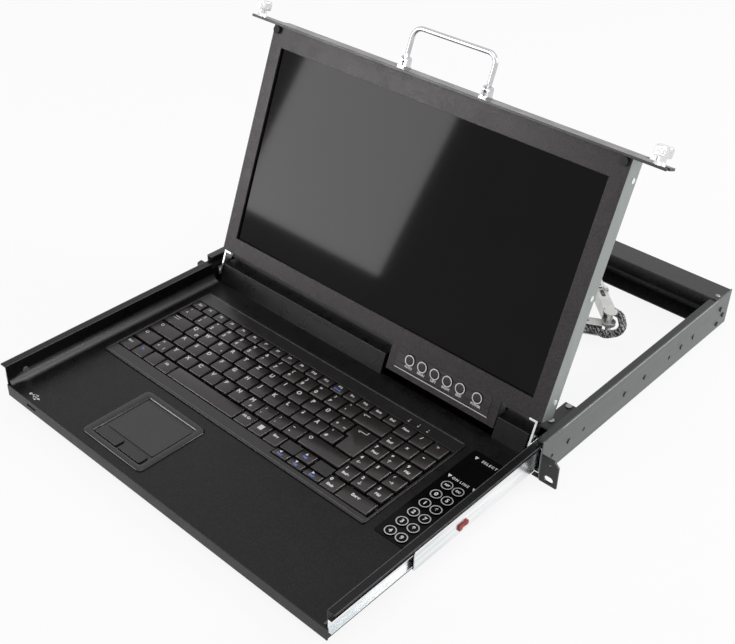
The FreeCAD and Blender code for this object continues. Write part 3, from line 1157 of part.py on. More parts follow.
def bundle(points, bend_r, size, label):
    """A round cable through the points, its corners rounded by arcs of one radius."""
    edges = []
    last = points[0]
    for before, corner, after in zip(points, points[1:], points[2:]):
        back_dir = (before - corner).normalize()
        on_dir = (after - corner).normalize()
        half_angle = back_dir.getAngle(on_dir) / 2
        reach = bend_r / math.tan(half_angle)
        crest = bend_r / math.sin(half_angle) - bend_r
        start = corner + back_dir * reach
        end = corner + on_dir * reach
        top = corner + (back_dir + on_dir).normalize() * crest
        if (start - last).Length > 0.001:
            edges.append(Part.LineSegment(last, start).toShape())
        edges.append(Part.Arc(start, top, end).toShape())
        last = end
    edges.append(Part.LineSegment(last, points[-1]).toShape())
    wire = Part.Wire(edges)
    ring = Part.Wire([Part.Circle(points[0], points[1] - points[0], size).toShape()])
    solid = wire.makePipeShell([ring], True, False)
    expected = math.pi * size * size * wire.Length
    if abs(solid.Volume - expected) > 0.01 * expected:
        raise RuntimeError("the cable %s is not filled" % label)
    cable = doc.addObject("Part::Feature", label)
    cable.Shape = solid
    return node(cable, label)


cable_r = value("dims.cable_r")
offset = value("dims.cable_offset")
upper = value("dims.upper_z + dims.channel_high / 2")
lower = value("dims.lower_z + dims.channel_high / 2")
swerve = value("dims.hub + dims.cable_r + 0.9")
start, short = value("dims.cable_start"), value("dims.cable_stop")
near = short - 8
bundle([beside(root, rear_dir, start, offset, upper),
        beside(root, rear_dir, rear_length - short, offset, upper)], 10, cable_r, "rear_cable")
bundle([beside(elbow, front_dir, short, offset, lower),
        beside(elbow, front_dir, front_length + 8, offset, lower)], 10, cable_r, "front_cable")
turned = (math.pi - rear_dir.getAngle(front_dir)) / 2
corner = swerve / math.tan(turned)
bundle([beside(elbow, rear_dir, -short, offset, upper), beside(elbow, rear_dir, -near, offset, upper),
        beside(elbow, rear_dir, -2, swerve, upper),
        beside(elbow, rear_dir, corner, swerve, (upper + lower) / 2),
        beside(elbow, front_dir, 2, swerve, lower),
        beside(elbow, front_dir, near, offset, lower), beside(elbow, front_dir, short, offset, lower)],
       value("dims.cable_bend"), cable_r, "cable_loop")
lead_y = value("dims.lead_y")
bundle([V(value("dims.socket_x1"), lead_y, upper),
        V(value("dims.root_x + dims.lead_turn"), lead_y, upper),
        beside(root, rear_dir, 22, offset, upper), beside(root, rear_dir, start, offset, upper)],
       value("dims.lead_bend"), cable_r, "cable_tail")

# Rear socket: a flanged connector through the back wall

block = [box(("dims.socket_x0", "dims.socket_x1"), ("dims.socket_y", "dims.chassis_long"),
             ("dims.socket_z0", "dims.socket_z1")),
         box(("dims.socket_x0 - dims.socket_rim_x", "dims.socket_x1 + dims.socket_rim_x"),
             ("dims.chassis_long", "dims.chassis_long + dims.socket_rim"),
             ("dims.socket_z0 - dims.socket_rim_z", "dims.socket_z1 + dims.socket_rim_z"))]
mouth = box(("dims.socket_x0 + dims.socket_wall_x", "dims.socket_x1 - dims.socket_wall_x"),
            ("dims.socket_mouth_y", "dims.chassis_long + dims.socket_rim + 1"),
            ("dims.socket_z0 + dims.socket_wall_z", "dims.socket_z1 - dims.socket_wall_z"))
node(cut(fuse(block), [mouth], "socket"), "rear_socket")

# Check every object, then write one file for each piece

doc.recompute()
for thing in doc.Objects:
    if "Invalid" in thing.State or "Error" in thing.State:
        raise RuntimeError("%s is not valid" % thing.Label)
    if thing.TypeId.startswith(("Part::", "PartDesign::")) and hasattr(thing, "Shape"):
        if thing.Shape.isNull() or not thing.Shape.isValid():
            raise RuntimeError("%s has no valid shape" % thing.Label)
os.makedirs("parts", exist_ok=True)
for piece in nodes:
    piece.Shape.exportStep(os.path.join("parts", piece.Label + ".step"))
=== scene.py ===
import json
import math

import bmesh
import bpy
from mathutils import Matrix, Vector


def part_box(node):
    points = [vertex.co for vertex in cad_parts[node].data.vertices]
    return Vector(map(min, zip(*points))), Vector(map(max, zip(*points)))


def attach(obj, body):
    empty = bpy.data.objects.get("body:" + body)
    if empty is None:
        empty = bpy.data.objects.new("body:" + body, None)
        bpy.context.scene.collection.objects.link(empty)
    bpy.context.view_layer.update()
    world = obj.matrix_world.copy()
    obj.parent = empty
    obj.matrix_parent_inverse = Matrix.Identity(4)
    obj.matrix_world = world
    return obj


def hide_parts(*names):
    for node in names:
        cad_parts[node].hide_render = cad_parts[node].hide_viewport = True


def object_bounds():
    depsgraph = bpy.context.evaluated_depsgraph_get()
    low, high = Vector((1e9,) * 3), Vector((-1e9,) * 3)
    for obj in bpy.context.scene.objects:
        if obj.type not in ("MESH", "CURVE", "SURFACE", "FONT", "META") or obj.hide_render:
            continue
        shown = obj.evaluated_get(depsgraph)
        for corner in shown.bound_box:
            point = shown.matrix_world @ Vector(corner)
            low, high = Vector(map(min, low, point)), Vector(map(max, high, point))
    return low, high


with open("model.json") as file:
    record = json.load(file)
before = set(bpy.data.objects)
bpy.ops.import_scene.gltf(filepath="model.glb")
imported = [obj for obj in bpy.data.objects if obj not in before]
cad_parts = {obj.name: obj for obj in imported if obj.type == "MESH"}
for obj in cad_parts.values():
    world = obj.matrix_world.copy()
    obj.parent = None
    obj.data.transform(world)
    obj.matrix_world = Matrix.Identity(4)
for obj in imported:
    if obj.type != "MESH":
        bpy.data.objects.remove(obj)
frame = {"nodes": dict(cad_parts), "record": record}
nodes = frame["nodes"]
cad_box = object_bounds()

# Powder coat
# The tray, deck, covers, ears and rear channel are steel sheet with a fine black powder coat.
# The coat is baked on and has an even orange-peel grain that breaks the light up.


def new_material(name):
    material = bpy.data.materials.new(name)
    material.use_nodes = True
    shader = material.node_tree.nodes["Principled BSDF"]
    return material, material.node_tree, shader


def noise(tree, scale, detail=2.0, stretch=None):
    """Noise in object coordinates, which are the drawer's metres."""
    place = tree.nodes.new("ShaderNodeTexCoord")
    texture = tree.nodes.new("ShaderNodeTexNoise")
    texture.inputs["Scale"].default_value = scale
    texture.inputs["Detail"].default_value = detail
    if stretch:
        squeeze = tree.nodes.new("ShaderNodeMapping")
        squeeze.inputs["Scale"].default_value = stretch
        tree.links.new(place.outputs["Object"], squeeze.inputs["Vector"])
        tree.links.new(squeeze.outputs["Vector"], texture.inputs["Vector"])
    else:
        tree.links.new(place.outputs["Object"], texture.inputs["Vector"])
    return texture


def shade_between(tree, shader, texture, socket, dark, light, low=0.35, high=0.65):
    """The texture runs a socket between two values or two colours."""
    ramp = tree.nodes.new("ShaderNodeValToRGB")
    ramp.color_ramp.elements[0].position = low
    ramp.color_ramp.elements[1].position = high
    ramp.color_ramp.elements[0].color = dark
    ramp.color_ramp.elements[1].color = light
    tree.links.new(texture.outputs["Fac"], ramp.inputs["Fac"])
    tree.links.new(ramp.outputs["Color"], shader.inputs[socket])


def grey(value):
    return (value, value, value, 1)


def bump(tree, shader, texture, strength, height, edge=0.0005):
    """Fine relief, and edges that catch the light as if they were broken by the radius edge."""
    relief = tree.nodes.new("ShaderNodeBump")
    relief.inputs["Strength"].default_value = strength
    relief.inputs["Distance"].default_value = height
    tree.links.new(texture.outputs["Fac"], relief.inputs["Height"])
    if edge:
        rounding = tree.nodes.new("ShaderNodeBevel")
        rounding.samples = 6
        rounding.inputs["Radius"].default_value = edge
        tree.links.new(rounding.outputs["Normal"], relief.inputs["Normal"])
    tree.links.new(relief.outputs["Normal"], shader.inputs["Normal"])


def powder_coat(name, dark, light, rough=0.5, grain=1500, strength=0.35, gloss=0.3, edge=0.0006):
    material, tree, shader = new_material(name)
    fine = noise(tree, grain, 3)
    shade_between(tree, shader, fine, "Base Color", dark, light, 0.42, 0.66)
    wide = noise(tree, 60, 4)
    shade_between(tree, shader, wide, "Roughness", grey(rough - 0.05), grey(rough + 0.05))
    shader.inputs["Specular IOR Level"].default_value = gloss
    bump(tree, shader, fine, strength, 0.0003, edge)
    return material


def dress(material, *names):
    for name in names:
        mesh = nodes[name].data
        mesh.materials.clear()
        mesh.materials.append(material)


black_coat = powder_coat("black_coat", (0.0015, 0.0014, 0.0015, 1), (0.0125, 0.0115, 0.0119, 1), rough=0.3,
                         grain=1000, gloss=0.24)
dress(black_coat, "tray_pan", "deck_plate", "left_hinge_cover", "right_hinge_cover")
ear_coat = powder_coat("ear_coat", (0.006, 0.006, 0.0062, 1), (0.018, 0.0175, 0.018, 1), rough=0.4, gloss=0.4)
dress(ear_coat, "rear_cover", "left_rack_ear", "right_rack_ear")
channel_coat = powder_coat("channel_coat", (0.012, 0.011, 0.012, 1), (0.036, 0.033, 0.035, 1), rough=0.26,
                           gloss=0.42, edge=0.0015)
dress(channel_coat, "rear_channel")

# Chassis sides and screen housing
# Zinc plated sheet steel, passivated to a grey-green, folded and left unpainted.
# Rolling leaves faint streaks along the sheet and the plating has a soft cloudy sheen.
# The chassis sides keep the zinc colour on their outer face, and their flanges and inner faces are coloured
# near-black.


def plated(name, dark, light, rough, stretch, metal=1.0, relief=0.06, cloud=0.07, edge=0.0005):
    material, tree, shader = new_material(name)
    streaks = noise(tree, 40, 5, stretch)
    shade_between(tree, shader, streaks, "Base Color", dark, light)
    clouds = noise(tree, 90, 3)
    shade_between(tree, shader, clouds, "Roughness", grey(rough - cloud), grey(rough + cloud))
    shader.inputs["Metallic"].default_value = metal
    bump(tree, shader, streaks, relief, 0.0003, edge)
    return material


zinc = plated("zinc", (0.284, 0.311, 0.302, 1), (0.314, 0.342, 0.333, 1), rough=0.36, stretch=(1, 3, 0.3),
              metal=0.8, cloud=0.03)
dress(zinc, "lcd_housing", "tray_screws")
OUTER_FACE = 0.2217
ZINC_METAL = 0.85
side_zinc = plated("side_zinc", (0.112, 0.121, 0.119, 1), (0.126, 0.136, 0.134, 1), rough=0.3,
                   stretch=(1, 0.1, 4), metal=ZINC_METAL, relief=0.006, cloud=0.02)
tree = side_zinc.node_tree
shader = tree.nodes["Principled BSDF"]
place = tree.nodes.new("ShaderNodeTexCoord")
axes = tree.nodes.new("ShaderNodeSeparateXYZ")
tree.links.new(place.outputs["Object"], axes.inputs["Vector"])
across = tree.nodes.new("ShaderNodeMath")
across.operation = "ABSOLUTE"
tree.links.new(axes.outputs["X"], across.inputs[0])
# Inward of the outer face the colour switches to near-black and the metal to none.
bare = tree.nodes.new("ShaderNodeMath")
bare.operation = "GREATER_THAN"
bare.inputs[1].default_value = OUTER_FACE
tree.links.new(across.outputs["Value"], bare.inputs[0])
face_colour_mix = tree.nodes.new("ShaderNodeMix")
face_colour_mix.data_type = "RGBA"
face_colour_mix.inputs["A"].default_value = (0.008, 0.008, 0.008, 1)
plain = shader.inputs["Base Color"].links[0].from_socket
tree.links.new(bare.outputs["Value"], face_colour_mix.inputs["Factor"])
tree.links.new(plain, face_colour_mix.inputs["B"])
tree.links.new(face_colour_mix.outputs["Result"], shader.inputs["Base Color"])
metal = tree.nodes.new("ShaderNodeMath")
metal.operation = "MULTIPLY"
metal.inputs[1].default_value = ZINC_METAL
tree.links.new(bare.outputs["Value"], metal.inputs[0])
tree.links.new(metal.outputs["Value"], shader.inputs["Metallic"])
dress(side_zinc, "left_chassis_side", "right_chassis_side", "chassis_rivets")

# Painted highlight on the chassis sides' top edges
# The fold to the upper flange is zinc like the side, and it catches the light. That highlight is painted
# as one thin light line along the top of each side.


def add_piece(name, shape, material, body, smooth=False):
    """Turns a bmesh into an object of its own that rides on a body."""
    mesh = bpy.data.meshes.new(name)
    shape.to_mesh(mesh)
    shape.free()
    mesh.materials.append(material)
    if smooth:
        mesh.shade_smooth()
    piece = bpy.data.objects.new(name, mesh)
    bpy.context.scene.collection.objects.link(piece)
    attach(piece, body)
    return piece


# Painted highlight: a light zinc colour for the line along each side's top fold.
fold_highlight_zinc = plated("fold_painted_highlight", (0.42, 0.45, 0.45, 1), (0.52, 0.55, 0.55, 1), rough=0.35,
                   stretch=(1, 1, 1), metal=0.1, relief=0.02, cloud=0.03)
EDGE_LOW, EDGE_HIGH, EDGE_END = 0.0012, 0.0003, 0.03
PRINT_GAP = 0.00004
for side in ("left", "right"):
    low_corner, high_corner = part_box(side + "_chassis_side")
    face = high_corner.x + PRINT_GAP if side == "right" else low_corner.x - PRINT_GAP
    front, rear = low_corner.y + EDGE_END, high_corner.y - EDGE_END
    line = bmesh.new()
    corners = [(front, EDGE_LOW), (rear, EDGE_LOW), (rear, EDGE_HIGH), (front, EDGE_HIGH)]
    line.faces.new([line.verts.new((face, y, high_corner.z - drop)) for y, drop in corners])
    add_piece(side + "_fold_painted_highlight", line, fold_highlight_zinc, "chassis")

# Slides, screws and brackets
# Bright zinc on rolled rails and stamped brackets, smoother and whiter than the chassis sheet.
# The rails are rolled, and the streaks along their length are painted reflection bands. The arms of the
# cable are duller, and the release levers are red plastic.

# The blue-grey streaks in this colour are painted reflection bands along the rails.
bright = plated("bright_zinc", (0.72, 0.76, 0.78, 1), (0.97, 0.97, 0.97, 1), rough=0.24,
                stretch=(3, 0.25, 5), relief=0.004, cloud=0.03, edge=0)
dress(bright, "left_outer_slide", "right_outer_slide", "left_middle_slide", "right_middle_slide",
      "left_inner_slide", "right_inner_slide", "ball_cages", "arm_rear_bracket", "arm_tray_bracket",
      "hinge_brackets", "hinge_arms", "display_screws")
arm_zinc = plated("arm_zinc", (0.56, 0.56, 0.55, 1), (0.68, 0.68, 0.67, 1), rough=0.34,
                  stretch=(1, 1, 1), metal=0.6, relief=0.02)
dress(arm_zinc, "rear_arm", "front_arm")


def finish(name, dark, light, grain, rough, cloud=None, relief=None, metal=0.0):
    """Grained colour. rough is one value, or the two that the cloud noise runs between."""
    material, tree, shader = new_material(name)
    fine = noise(tree, grain)
    shade_between(tree, shader, fine, "Base Color", dark, light)
    if cloud:
        shade_between(tree, shader, noise(tree, cloud), "Roughness", grey(rough[0]), grey(rough[1]))
    else:
        shader.inputs["Roughness"].default_value = rough
    if relief:
        bump(tree, shader, fine, *relief)
    shader.inputs["Metallic"].default_value = metal
    return material


lever_red = finish("lever_red", (0.22, 0.009, 0.008, 1), (0.3, 0.014, 0.01, 1), grain=300, rough=0.4)
dress(lever_red, "slide_levers")

# Screen
# A dark cover glass over the panel. It is smooth and glossy, with hardly any grain.
# The bezel around it is painted steel, a warm dark grey with a coarse speckle.

glass = finish("screen_glass", grey(0.0006), grey(0.0012), grain=25, rough=(0.04, 0.06), cloud=900)
glass.node_tree.nodes["Principled BSDF"].inputs["IOR"].default_value = 1.22
dress(glass, "lcd_panel")

bezel_coat = powder_coat("bezel_coat", (0.016, 0.0128, 0.0143, 1), (0.066, 0.055, 0.06, 1), rough=0.25,
                         strength=0.4, gloss=0.26)
dress(bezel_coat, "lcd_bezel")
panel_coat = powder_coat("front_coat", (0.02, 0.018, 0.019, 1), (0.048, 0.045, 0.047, 1), rough=0.28,
                         strength=0.25, gloss=0.5, edge=0.0008)
dress(panel_coat, "front_panel")

# Chrome handle and thumbscrews
# The handle is a bent rod with polished chrome, and its two brackets are chromed with it.
# The thumbscrews are turned from brass and nickel plated, and their heads are knurled.

chrome = finish("chrome", (0.5, 0.5, 0.52, 1), (0.6, 0.6, 0.62, 1), grain=40, rough=(0.03, 0.08), cloud=120,
                metal=1.0)
dress(chrome, "handle", "handle_brackets")
nickel = plated("nickel", grey(0.7), grey(0.86), rough=0.2, stretch=(8, 8, 8))
dress(nickel, "left_thumbscrew", "right_thumbscrew")

# Keyboard and touchpad
# The caps are moulded plastic, a warm dark grey with a fine matte spark finish and rounded upper edges.
# They stand in a black moulded frame. The touchpad is a film behind its own moulded bezel.

key_plastic = finish("key_plastic", (0.014, 0.0105, 0.0108, 1), (0.03, 0.024, 0.0245, 1), grain=2500,
                     rough=(0.2, 0.26), cloud=150, relief=(0.2, 0.0001, 0.0011))


def broken_edges(name, material, offset, above):
    """The same piece with its upper edges rounded, from the solid's own mesh."""
    shape = bmesh.new()
    shape.from_mesh(nodes[name].data)
    bmesh.ops.remove_doubles(shape, verts=shape.verts, dist=0.00001)
    bmesh.ops.dissolve_limit(shape, angle_limit=math.radians(3), verts=shape.verts, edges=shape.edges)
    rims = [e for e in shape.edges if len(e.link_faces) == 2 and min(v.co.z for v in e.verts) > above
            and e.calc_face_angle() > math.radians(30)]
    bmesh.ops.bevel(shape, geom=rims, offset=offset, segments=3, profile=0.5, affect="EDGES")
    body = next(b for b, held in bodies.items() if name in held)
    piece = add_piece(name + "_moulded", shape, material, body, smooth=True)
    piece.data.set_sharp_from_angle(angle=math.radians(35))
    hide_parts(name)


bodies = frame["record"]["behaviour"]["bodies"]
CAP_EDGE = 0.0008
CAP_WAIST = 0.0124
for name in ("function_keys", "typing_keys", "space_bar", "arrow_keys", "keypad_keys"):
    broken_edges(name, key_plastic, CAP_EDGE, CAP_WAIST)

black_plastic = finish("black_plastic", grey(0.006), grey(0.014), grain=1800, rough=(0.2, 0.28), cloud=80,
                       relief=(0.08, 0.0001, 0.001))
dress(black_plastic, "keyboard_frame", "touchpad_bezel", "left_pad_button", "right_pad_button",
      "usb_socket", "osd_buttons", "power_button", "rear_socket", "key_switch_plate")
pad_film = finish("pad_film", grey(0.014), grey(0.03), grain=2200, rough=(0.4, 0.46), cloud=120,
                  relief=(0.2, 0.0001, 0.0003))
dress(pad_film, "touchpad")

# Panel films, bumpers and boards
# The port panel and its buttons are a glossy black film over steel, and the label under the screen is
# brushed metal. The bumpers are black rubber discs, and the two circuit boards are green laminate.

gloss = finish("gloss_panel", grey(0.001), grey(0.002), grain=30, rough=(0.1, 0.16), cloud=400)
gloss.node_tree.nodes["Principled BSDF"].inputs["Specular IOR Level"].default_value = 0.09
dress(gloss, "port_panel", "port_buttons")
label_metal = plated("label_metal", (0.003, 0.0026, 0.0028, 1), (0.052, 0.044, 0.048, 1), rough=0.3,
                     stretch=(0.6, 22, 22), metal=0.4)
dress(label_metal, "osd_panel")
rubber = finish("rubber", grey(0.004), grey(0.01), grain=500, rough=0.7)
dress(rubber, "bezel_bumpers")
board = finish("board", (0.01, 0.09, 0.04, 1), (0.02, 0.14, 0.06, 1), grain=200, rough=0.4)
dress(board, "switch_board", "display_board")

# Cable bundle
# Several leads run in one black braided sleeve. The braid is a fine diagonal weave of bright and dark yarn.
# It lies in the two channels of the folding arm and goes round the elbow in a loop.

braid, tree, shader = new_material("braid")
place = tree.nodes.new("ShaderNodeTexCoord")
weave = tree.nodes.new("ShaderNodeTexWave")
weave.wave_type = "BANDS"
weave.bands_direction = "DIAGONAL"
weave.inputs["Scale"].default_value = 110
weave.inputs["Distortion"].default_value = 7
weave.inputs["Detail"].default_value = 2
weave.inputs["Detail Scale"].default_value = 3
tree.links.new(place.outputs["Object"], weave.inputs["Vector"])
shade_between(tree, shader, weave, "Base Color", grey(0.005), grey(0.42), 0.6, 0.8)
bump(tree, shader, weave, 0.6, 0.0004, 0.0004)
shader.inputs["Roughness"].default_value = 0.5
dress(braid, "rear_cable", "front_cable", "cable_loop", "cable_tail")

# Typing keys' legends
# The legends are printed on the caps in thin white ink, and a few in blue. The ink is a flat layer, cut to
# the shape of each letter and laid on the cap.

HINGE = Vector((0, 0.008, 0.0191))
LEAN = math.radians(20.4)
screen_place = Matrix.Translation(HINGE) @ Matrix((
    (1, 0, 0, 0),
    (0, math.sin(LEAN), -math.cos(LEAN), 0),
    (0, math.cos(LEAN), math.sin(LEAN), 0),
    (0, 0, 0, 1)))


def tray_place(level):
    """The tray's own axes: X across, Y from the front edge, at a height above its underside."""
    return Matrix.Translation((0, -0.2615, -0.0024 + level / 1000))


def letter_mesh(word, size, spacing, weight):
    curve = bpy.data.curves.new("word", "FONT")
    curve.body = word
    curve.size = size / 1000
    curve.align_x = "CENTER"
    curve.align_y = "CENTER"
    curve.offset = size / 1000 * weight
    curve.space_character = spacing
    curve.extrude = 0.00002
    holder = bpy.data.objects.new("word", curve)
    bpy.context.scene.collection.objects.link(holder)
    bpy.context.view_layer.update()
    flat = bpy.data.meshes.new_from_object(holder)
    bpy.data.objects.remove(holder)
    bpy.data.curves.remove(curve)
    return flat


def print_words(name, words, place, material, body, spacing=1.0, weight=0.045):
    """Each word is text, x, y and height in millimetres on the printed plane."""
    shape = bmesh.new()
    for word, x, y, size in words:
        flat = letter_mesh(word, size, spacing, weight)
        flat.transform(place @ Matrix.Translation((x / 1000, y / 1000, 0.00003)))
        shape.from_mesh(flat)
        bpy.data.meshes.remove(flat)
    return add_piece(name, shape, material, body)


white_ink = finish("white_ink", grey(0.62), grey(0.8), grain=3000, rough=0.5)
blue_ink = finish("blue_ink", (0.12, 0.19, 0.55, 1), (0.16, 0.24, 0.65, 1), grain=3000, rough=0.5)

KEY_TOP = 15.4
KEY_PITCH = 18.76
top = tray_place(KEY_TOP)
words = []


def letter_row(legends, start, y, dx=-4.0, dy=3.4, size=6.2):
    """One legend a key, from the left edge of the first cap and the middle of the row."""
    for i, legend in enumerate(legends):
        words.append((legend, start + KEY_PITCH * i + 8.5 + dx, y + dy, size))


letter_row("1234567890", -164.6, 198.5, -4.4, -3.2, 5.8)
letter_row("!\"#$%&/()=", -164.6, 198.5, -4.4, 4.0, 5.0)
words += [("^", -181.5, 195.5, 5), ("o", -181.5, 203.0, 3), ("?", 27.2, 202.6, 4.4), ("B", 27.2, 195.2, 5),
          ("'", 46.0, 202.6, 5), ("'", 46.0, 195.0, 5)]
letter_row("QWERTZUIOP", -156.4, 179.5)
letter_row("ASDFGHJKL", -152.1, 160.9)
letter_row("YXCVBNM", -161.6 + KEY_PITCH, 141.9)
words += [("Ü", 31.6 + 4.3, 183.1, 5.4), ("*", 54.5, 184, 5), ("+", 54.5, 176.5, 5), ("~", 64.0, 176.0, 4.5),
          ("Ö", 21.4, 164.5, 5.4), ("Ä", 40.2, 164.5, 5.4), ("'", 58.8, 165, 5), ("#", 58.8, 157.6, 4.6),
          (">", -157.3, 146, 4.5), ("<", -157.3, 138.6, 4.5), ("|", -148.8, 138.6, 4.5),
          (";", -7.1, 146, 4.6), (",", -7.1, 139.4, 5), (":", 11.7, 146, 4.6), (".", 11.7, 139.4, 5),
          ("_", 30.4, 147, 5), ("-", 30.4, 138.8, 5.5), ("@", -142.6, 175.6, 4.4), ("e", -105.1, 175.6, 4.6),
          ("µ", -21.2, 138.4, 4.4)]
words += [("Strg", -183.2, 124.5, 3.9), ("Alt", -126.6, 124.5, 3.9), ("Alt Gr", -11.6, 124.5, 3.9),
          ("Strg", 27.6, 124.5, 3.9)]
print_words("typing_legends", words, top, white_ink, "typing_keys")
print_words("fn_legend", [("Fn", -163.8, 124.5, 4.2)], top, blue_ink, "typing_keys")


def patch(shape, place, points):
    """A flat printed shape with these corners, in millimetres."""
    shape.faces.new([shape.verts.new(place @ Vector((x / 1000, y / 1000, PRINT_GAP))) for x, y in points])


def stroke(shape, place, points, width):
    """A flat printed line of one width through the points."""
    for start, end in zip(points, points[1:]):
        start, end = Vector(start), Vector(end)
        along = (end - start).normalized() * width / 2
        side = Vector((-along.y, along.x))
        patch(shape, place, [start - along - side, end + along - side,
                             end + along + side, start - along + side])


def join_rings(shape, rings):
    """Faces between each closed ring of corners and the next."""
    for lower, higher in zip(rings, rings[1:]):
        for i in range(len(lower)):
            j = (i + 1) % len(lower)
            shape.faces.new([lower[i], lower[j], higher[j], higher[i]])


def round_ring(shape, place, x, y, radius, level, steps):
    """The corners of a circle, in millimetres."""
    ring = []
    for i in range(steps):
        angle = math.tau * i / steps
        spot = Vector((x + radius * math.cos(angle), y + radius * math.sin(angle), level)) / 1000
        ring.append(shape.verts.new(place @ spot))
    return ring


def ring_print(shape, place, x, y, outer, inner, rise=0.04, steps=32):
    join_rings(shape, [round_ring(shape, place, x, y, radius, rise, steps) for radius in (outer, inner)])


signs = bmesh.new()
stroke(signs, top, [(71, 203.2), (63.8, 203.2), (65.8, 204.8), (63.8, 203.2), (65.8, 201.6)], 0.7)
stroke(signs, top, [(86, 186), (86, 182.6), (76, 182.6), (78, 184.2), (76, 182.6), (78, 181)], 0.7)
stroke(signs, top, [(-184.5, 184.5), (-177.5, 184.5)], 0.7)
stroke(signs, top, [(-184.5, 181.5), (-177.5, 181.5)], 0.7)
ring_print(signs, top, -181.5, 164.2, 1.9, 1.1)
ring_print(signs, top, -183, 145.4, 1.9, 1.1)
ring_print(signs, top, 51.5, 145.4, 1.9, 1.1)
patch(signs, top, [(6.4, 120.5), (11.6, 120.5), (11.6, 126.6), (6.4, 126.6)])
add_piece("typing_signs", signs, white_ink, "typing_keys")

# Function keys' legends
# The same white ink on the low caps of the back row. F12 shares its cap with a word in blue ink, which
# stands below it.

FUNCTION_PITCH = 16.93
words = [("Esc", -181.2, 214.6, 3.8)]
words += [("F%d" % i, -182.7 + FUNCTION_PITCH * i, 214.6, 3.9) for i in range(1, 12)]
words += [("F12", -182.7 + FUNCTION_PITCH * 12, 216.6, 3.4)]
words += [("Prt", 37.8, 214.8, 3.7), ("Brk", 54.8, 214.8, 3.7), ("Einfg", 71.7, 214.8, 3.5),
          ("Entf", 88.6, 214.8, 3.7)]
print_words("function_legends", words, top, white_ink, "function_keys")
print_words("print_legend", [("Druck", 20.6, 212.2, 3.3)], top, blue_ink, "function_keys")

# Keypad legends
# Numbers in white ink, with a small word or an arrow for each key's second use. The arrows are thin lines
# printed with the rest.

words = [("Num", 106.6, 213.2, 3.8), ("/", 124.6, 214, 5), ("*", 143.6, 213, 6),
         (",", 104.2, 196, 5), ("Entf", 107.0, 190.2, 3.9), ("x", 124.2, 195, 4.6), ("-", 143.2, 195.6, 6),
         ("7", 102.8, 177.0, 4.8), ("Pos1", 107.0, 170.4, 3.9), ("8", 121.8, 177.0, 4.8),
         ("9", 141, 177, 4.8), ("Bild", 144.6, 170.4, 3.9),
         ("4", 102.8, 157.8, 4.8), ("5", 121.8, 157.8, 4.8), ("6", 141, 157.8, 4.8),
         ("1", 102.8, 138.8, 4.8), ("Ende", 107.0, 132.2, 3.9), ("2", 121.8, 138.8, 4.8),
         ("3", 141, 138.8, 4.8), ("Bild", 144.6, 132.2, 3.9),
         ("0", 102.8, 119.2, 4.8), ("Einfg", 107.0, 112.6, 3.9), ("Enter", 133.0, 117.6, 4.4)]
print_words("keypad_legends", words, top, white_ink, "keypad_keys")
signs = bmesh.new()
for x, y, dx, dy in ((124, 170.4, 0, 1), (105, 151.2, -1, 0), (143.6, 151.2, 1, 0), (124, 132.2, 0, -1)):
    stroke(signs, top, [(x - 2 * dx, y - 2 * dy), (x + 2 * dx, y + 2 * dy)], 0.6)
    stroke(signs, top, [(x + 0.6 * dx - 1.4 * dy, y + 0.6 * dy - 1.4 * dx), (x + 2 * dx, y + 2 * dy),
                        (x + 0.6 * dx + 1.4 * dy, y + 0.6 * dy + 1.4 * dx)], 0.6)
add_piece("keypad_arrows", signs, white_ink, "keypad_keys")

# Arrow keys' legends
# Solid white arrowheads in the same ink as on the other caps, and small blue words for each key's
# second use.

signs = bmesh.new()
for x, y, dx, dy in ((45.6, 113.4, -1, 0), (65.4, 113.4, 0, -1), (86.2, 113.4, 1, 0), (65.6, 126.6, 0, 1)):
    patch(signs, top, [(x + 1.7 * dx, y + 1.7 * dy),
                       (x - 1.2 * dx - 1.5 * dy, y - 1.2 * dy + 1.5 * dx),
                       (x - 1.2 * dx + 1.5 * dy, y - 1.2 * dy - 1.5 * dx)])
add_piece("arrow_signs", signs, white_ink, "arrow_keys")
words = [("Pos1", 47.2, 109.9, 3.3), ("Bild", 66.6, 109.9, 3.3), ("Ende", 87.4, 109.9, 3.3),
         ("Bild", 66.6, 122.4, 3.3)]
print_words("arrow_legends", words, top, blue_ink, "arrow_keys")

# Keyboard frame print
# Three small white marks, printed on the frame beside the lamps for the locks. Each is a ring with
# a short line above it.

frame_top = tray_place(14.3)
signs = bmesh.new()
for x in (99.4, 110.8, 121.8):
    ring_print(signs, frame_top, x, 225.4, 0.9, 0.3, steps=12)
    stroke(signs, frame_top, [(x, 227.6), (x, 228.8)], 0.5)
add_piece("lock_marks", signs, white_ink, "tray")

# Painted highlight on the rim of the keyboard frame
# The frame's moulded edge catches the light. That highlight is painted as a thin light line at the back,
# the left and the front.

# Painted highlights: a light grey for thin lines along edges that catch the light.
painted_highlight_grey = finish("painted_highlight_grey", grey(0.09), grey(0.16), grain=300, rough=(0.25, 0.35), cloud=80)
signs = bmesh.new()
stroke(signs, frame_top, [(-191.6, 234.2), (-190.2, 235.6), (156, 235.6)], 0.7)
stroke(signs, frame_top, [(-191.6, 104), (-191.6, 234.2)], 0.5)
stroke(signs, frame_top, [(-191.0, 101.6), (156, 101.6)], 0.4)
add_piece("frame_rim_painted_highlight", signs, painted_highlight_grey, "tray")

# Painted highlights on the edges of the black sheet
# Along the walls' flanges and the ridges of the hinge covers, the folds catch the light. These highlights
# are painted as thin light lines.

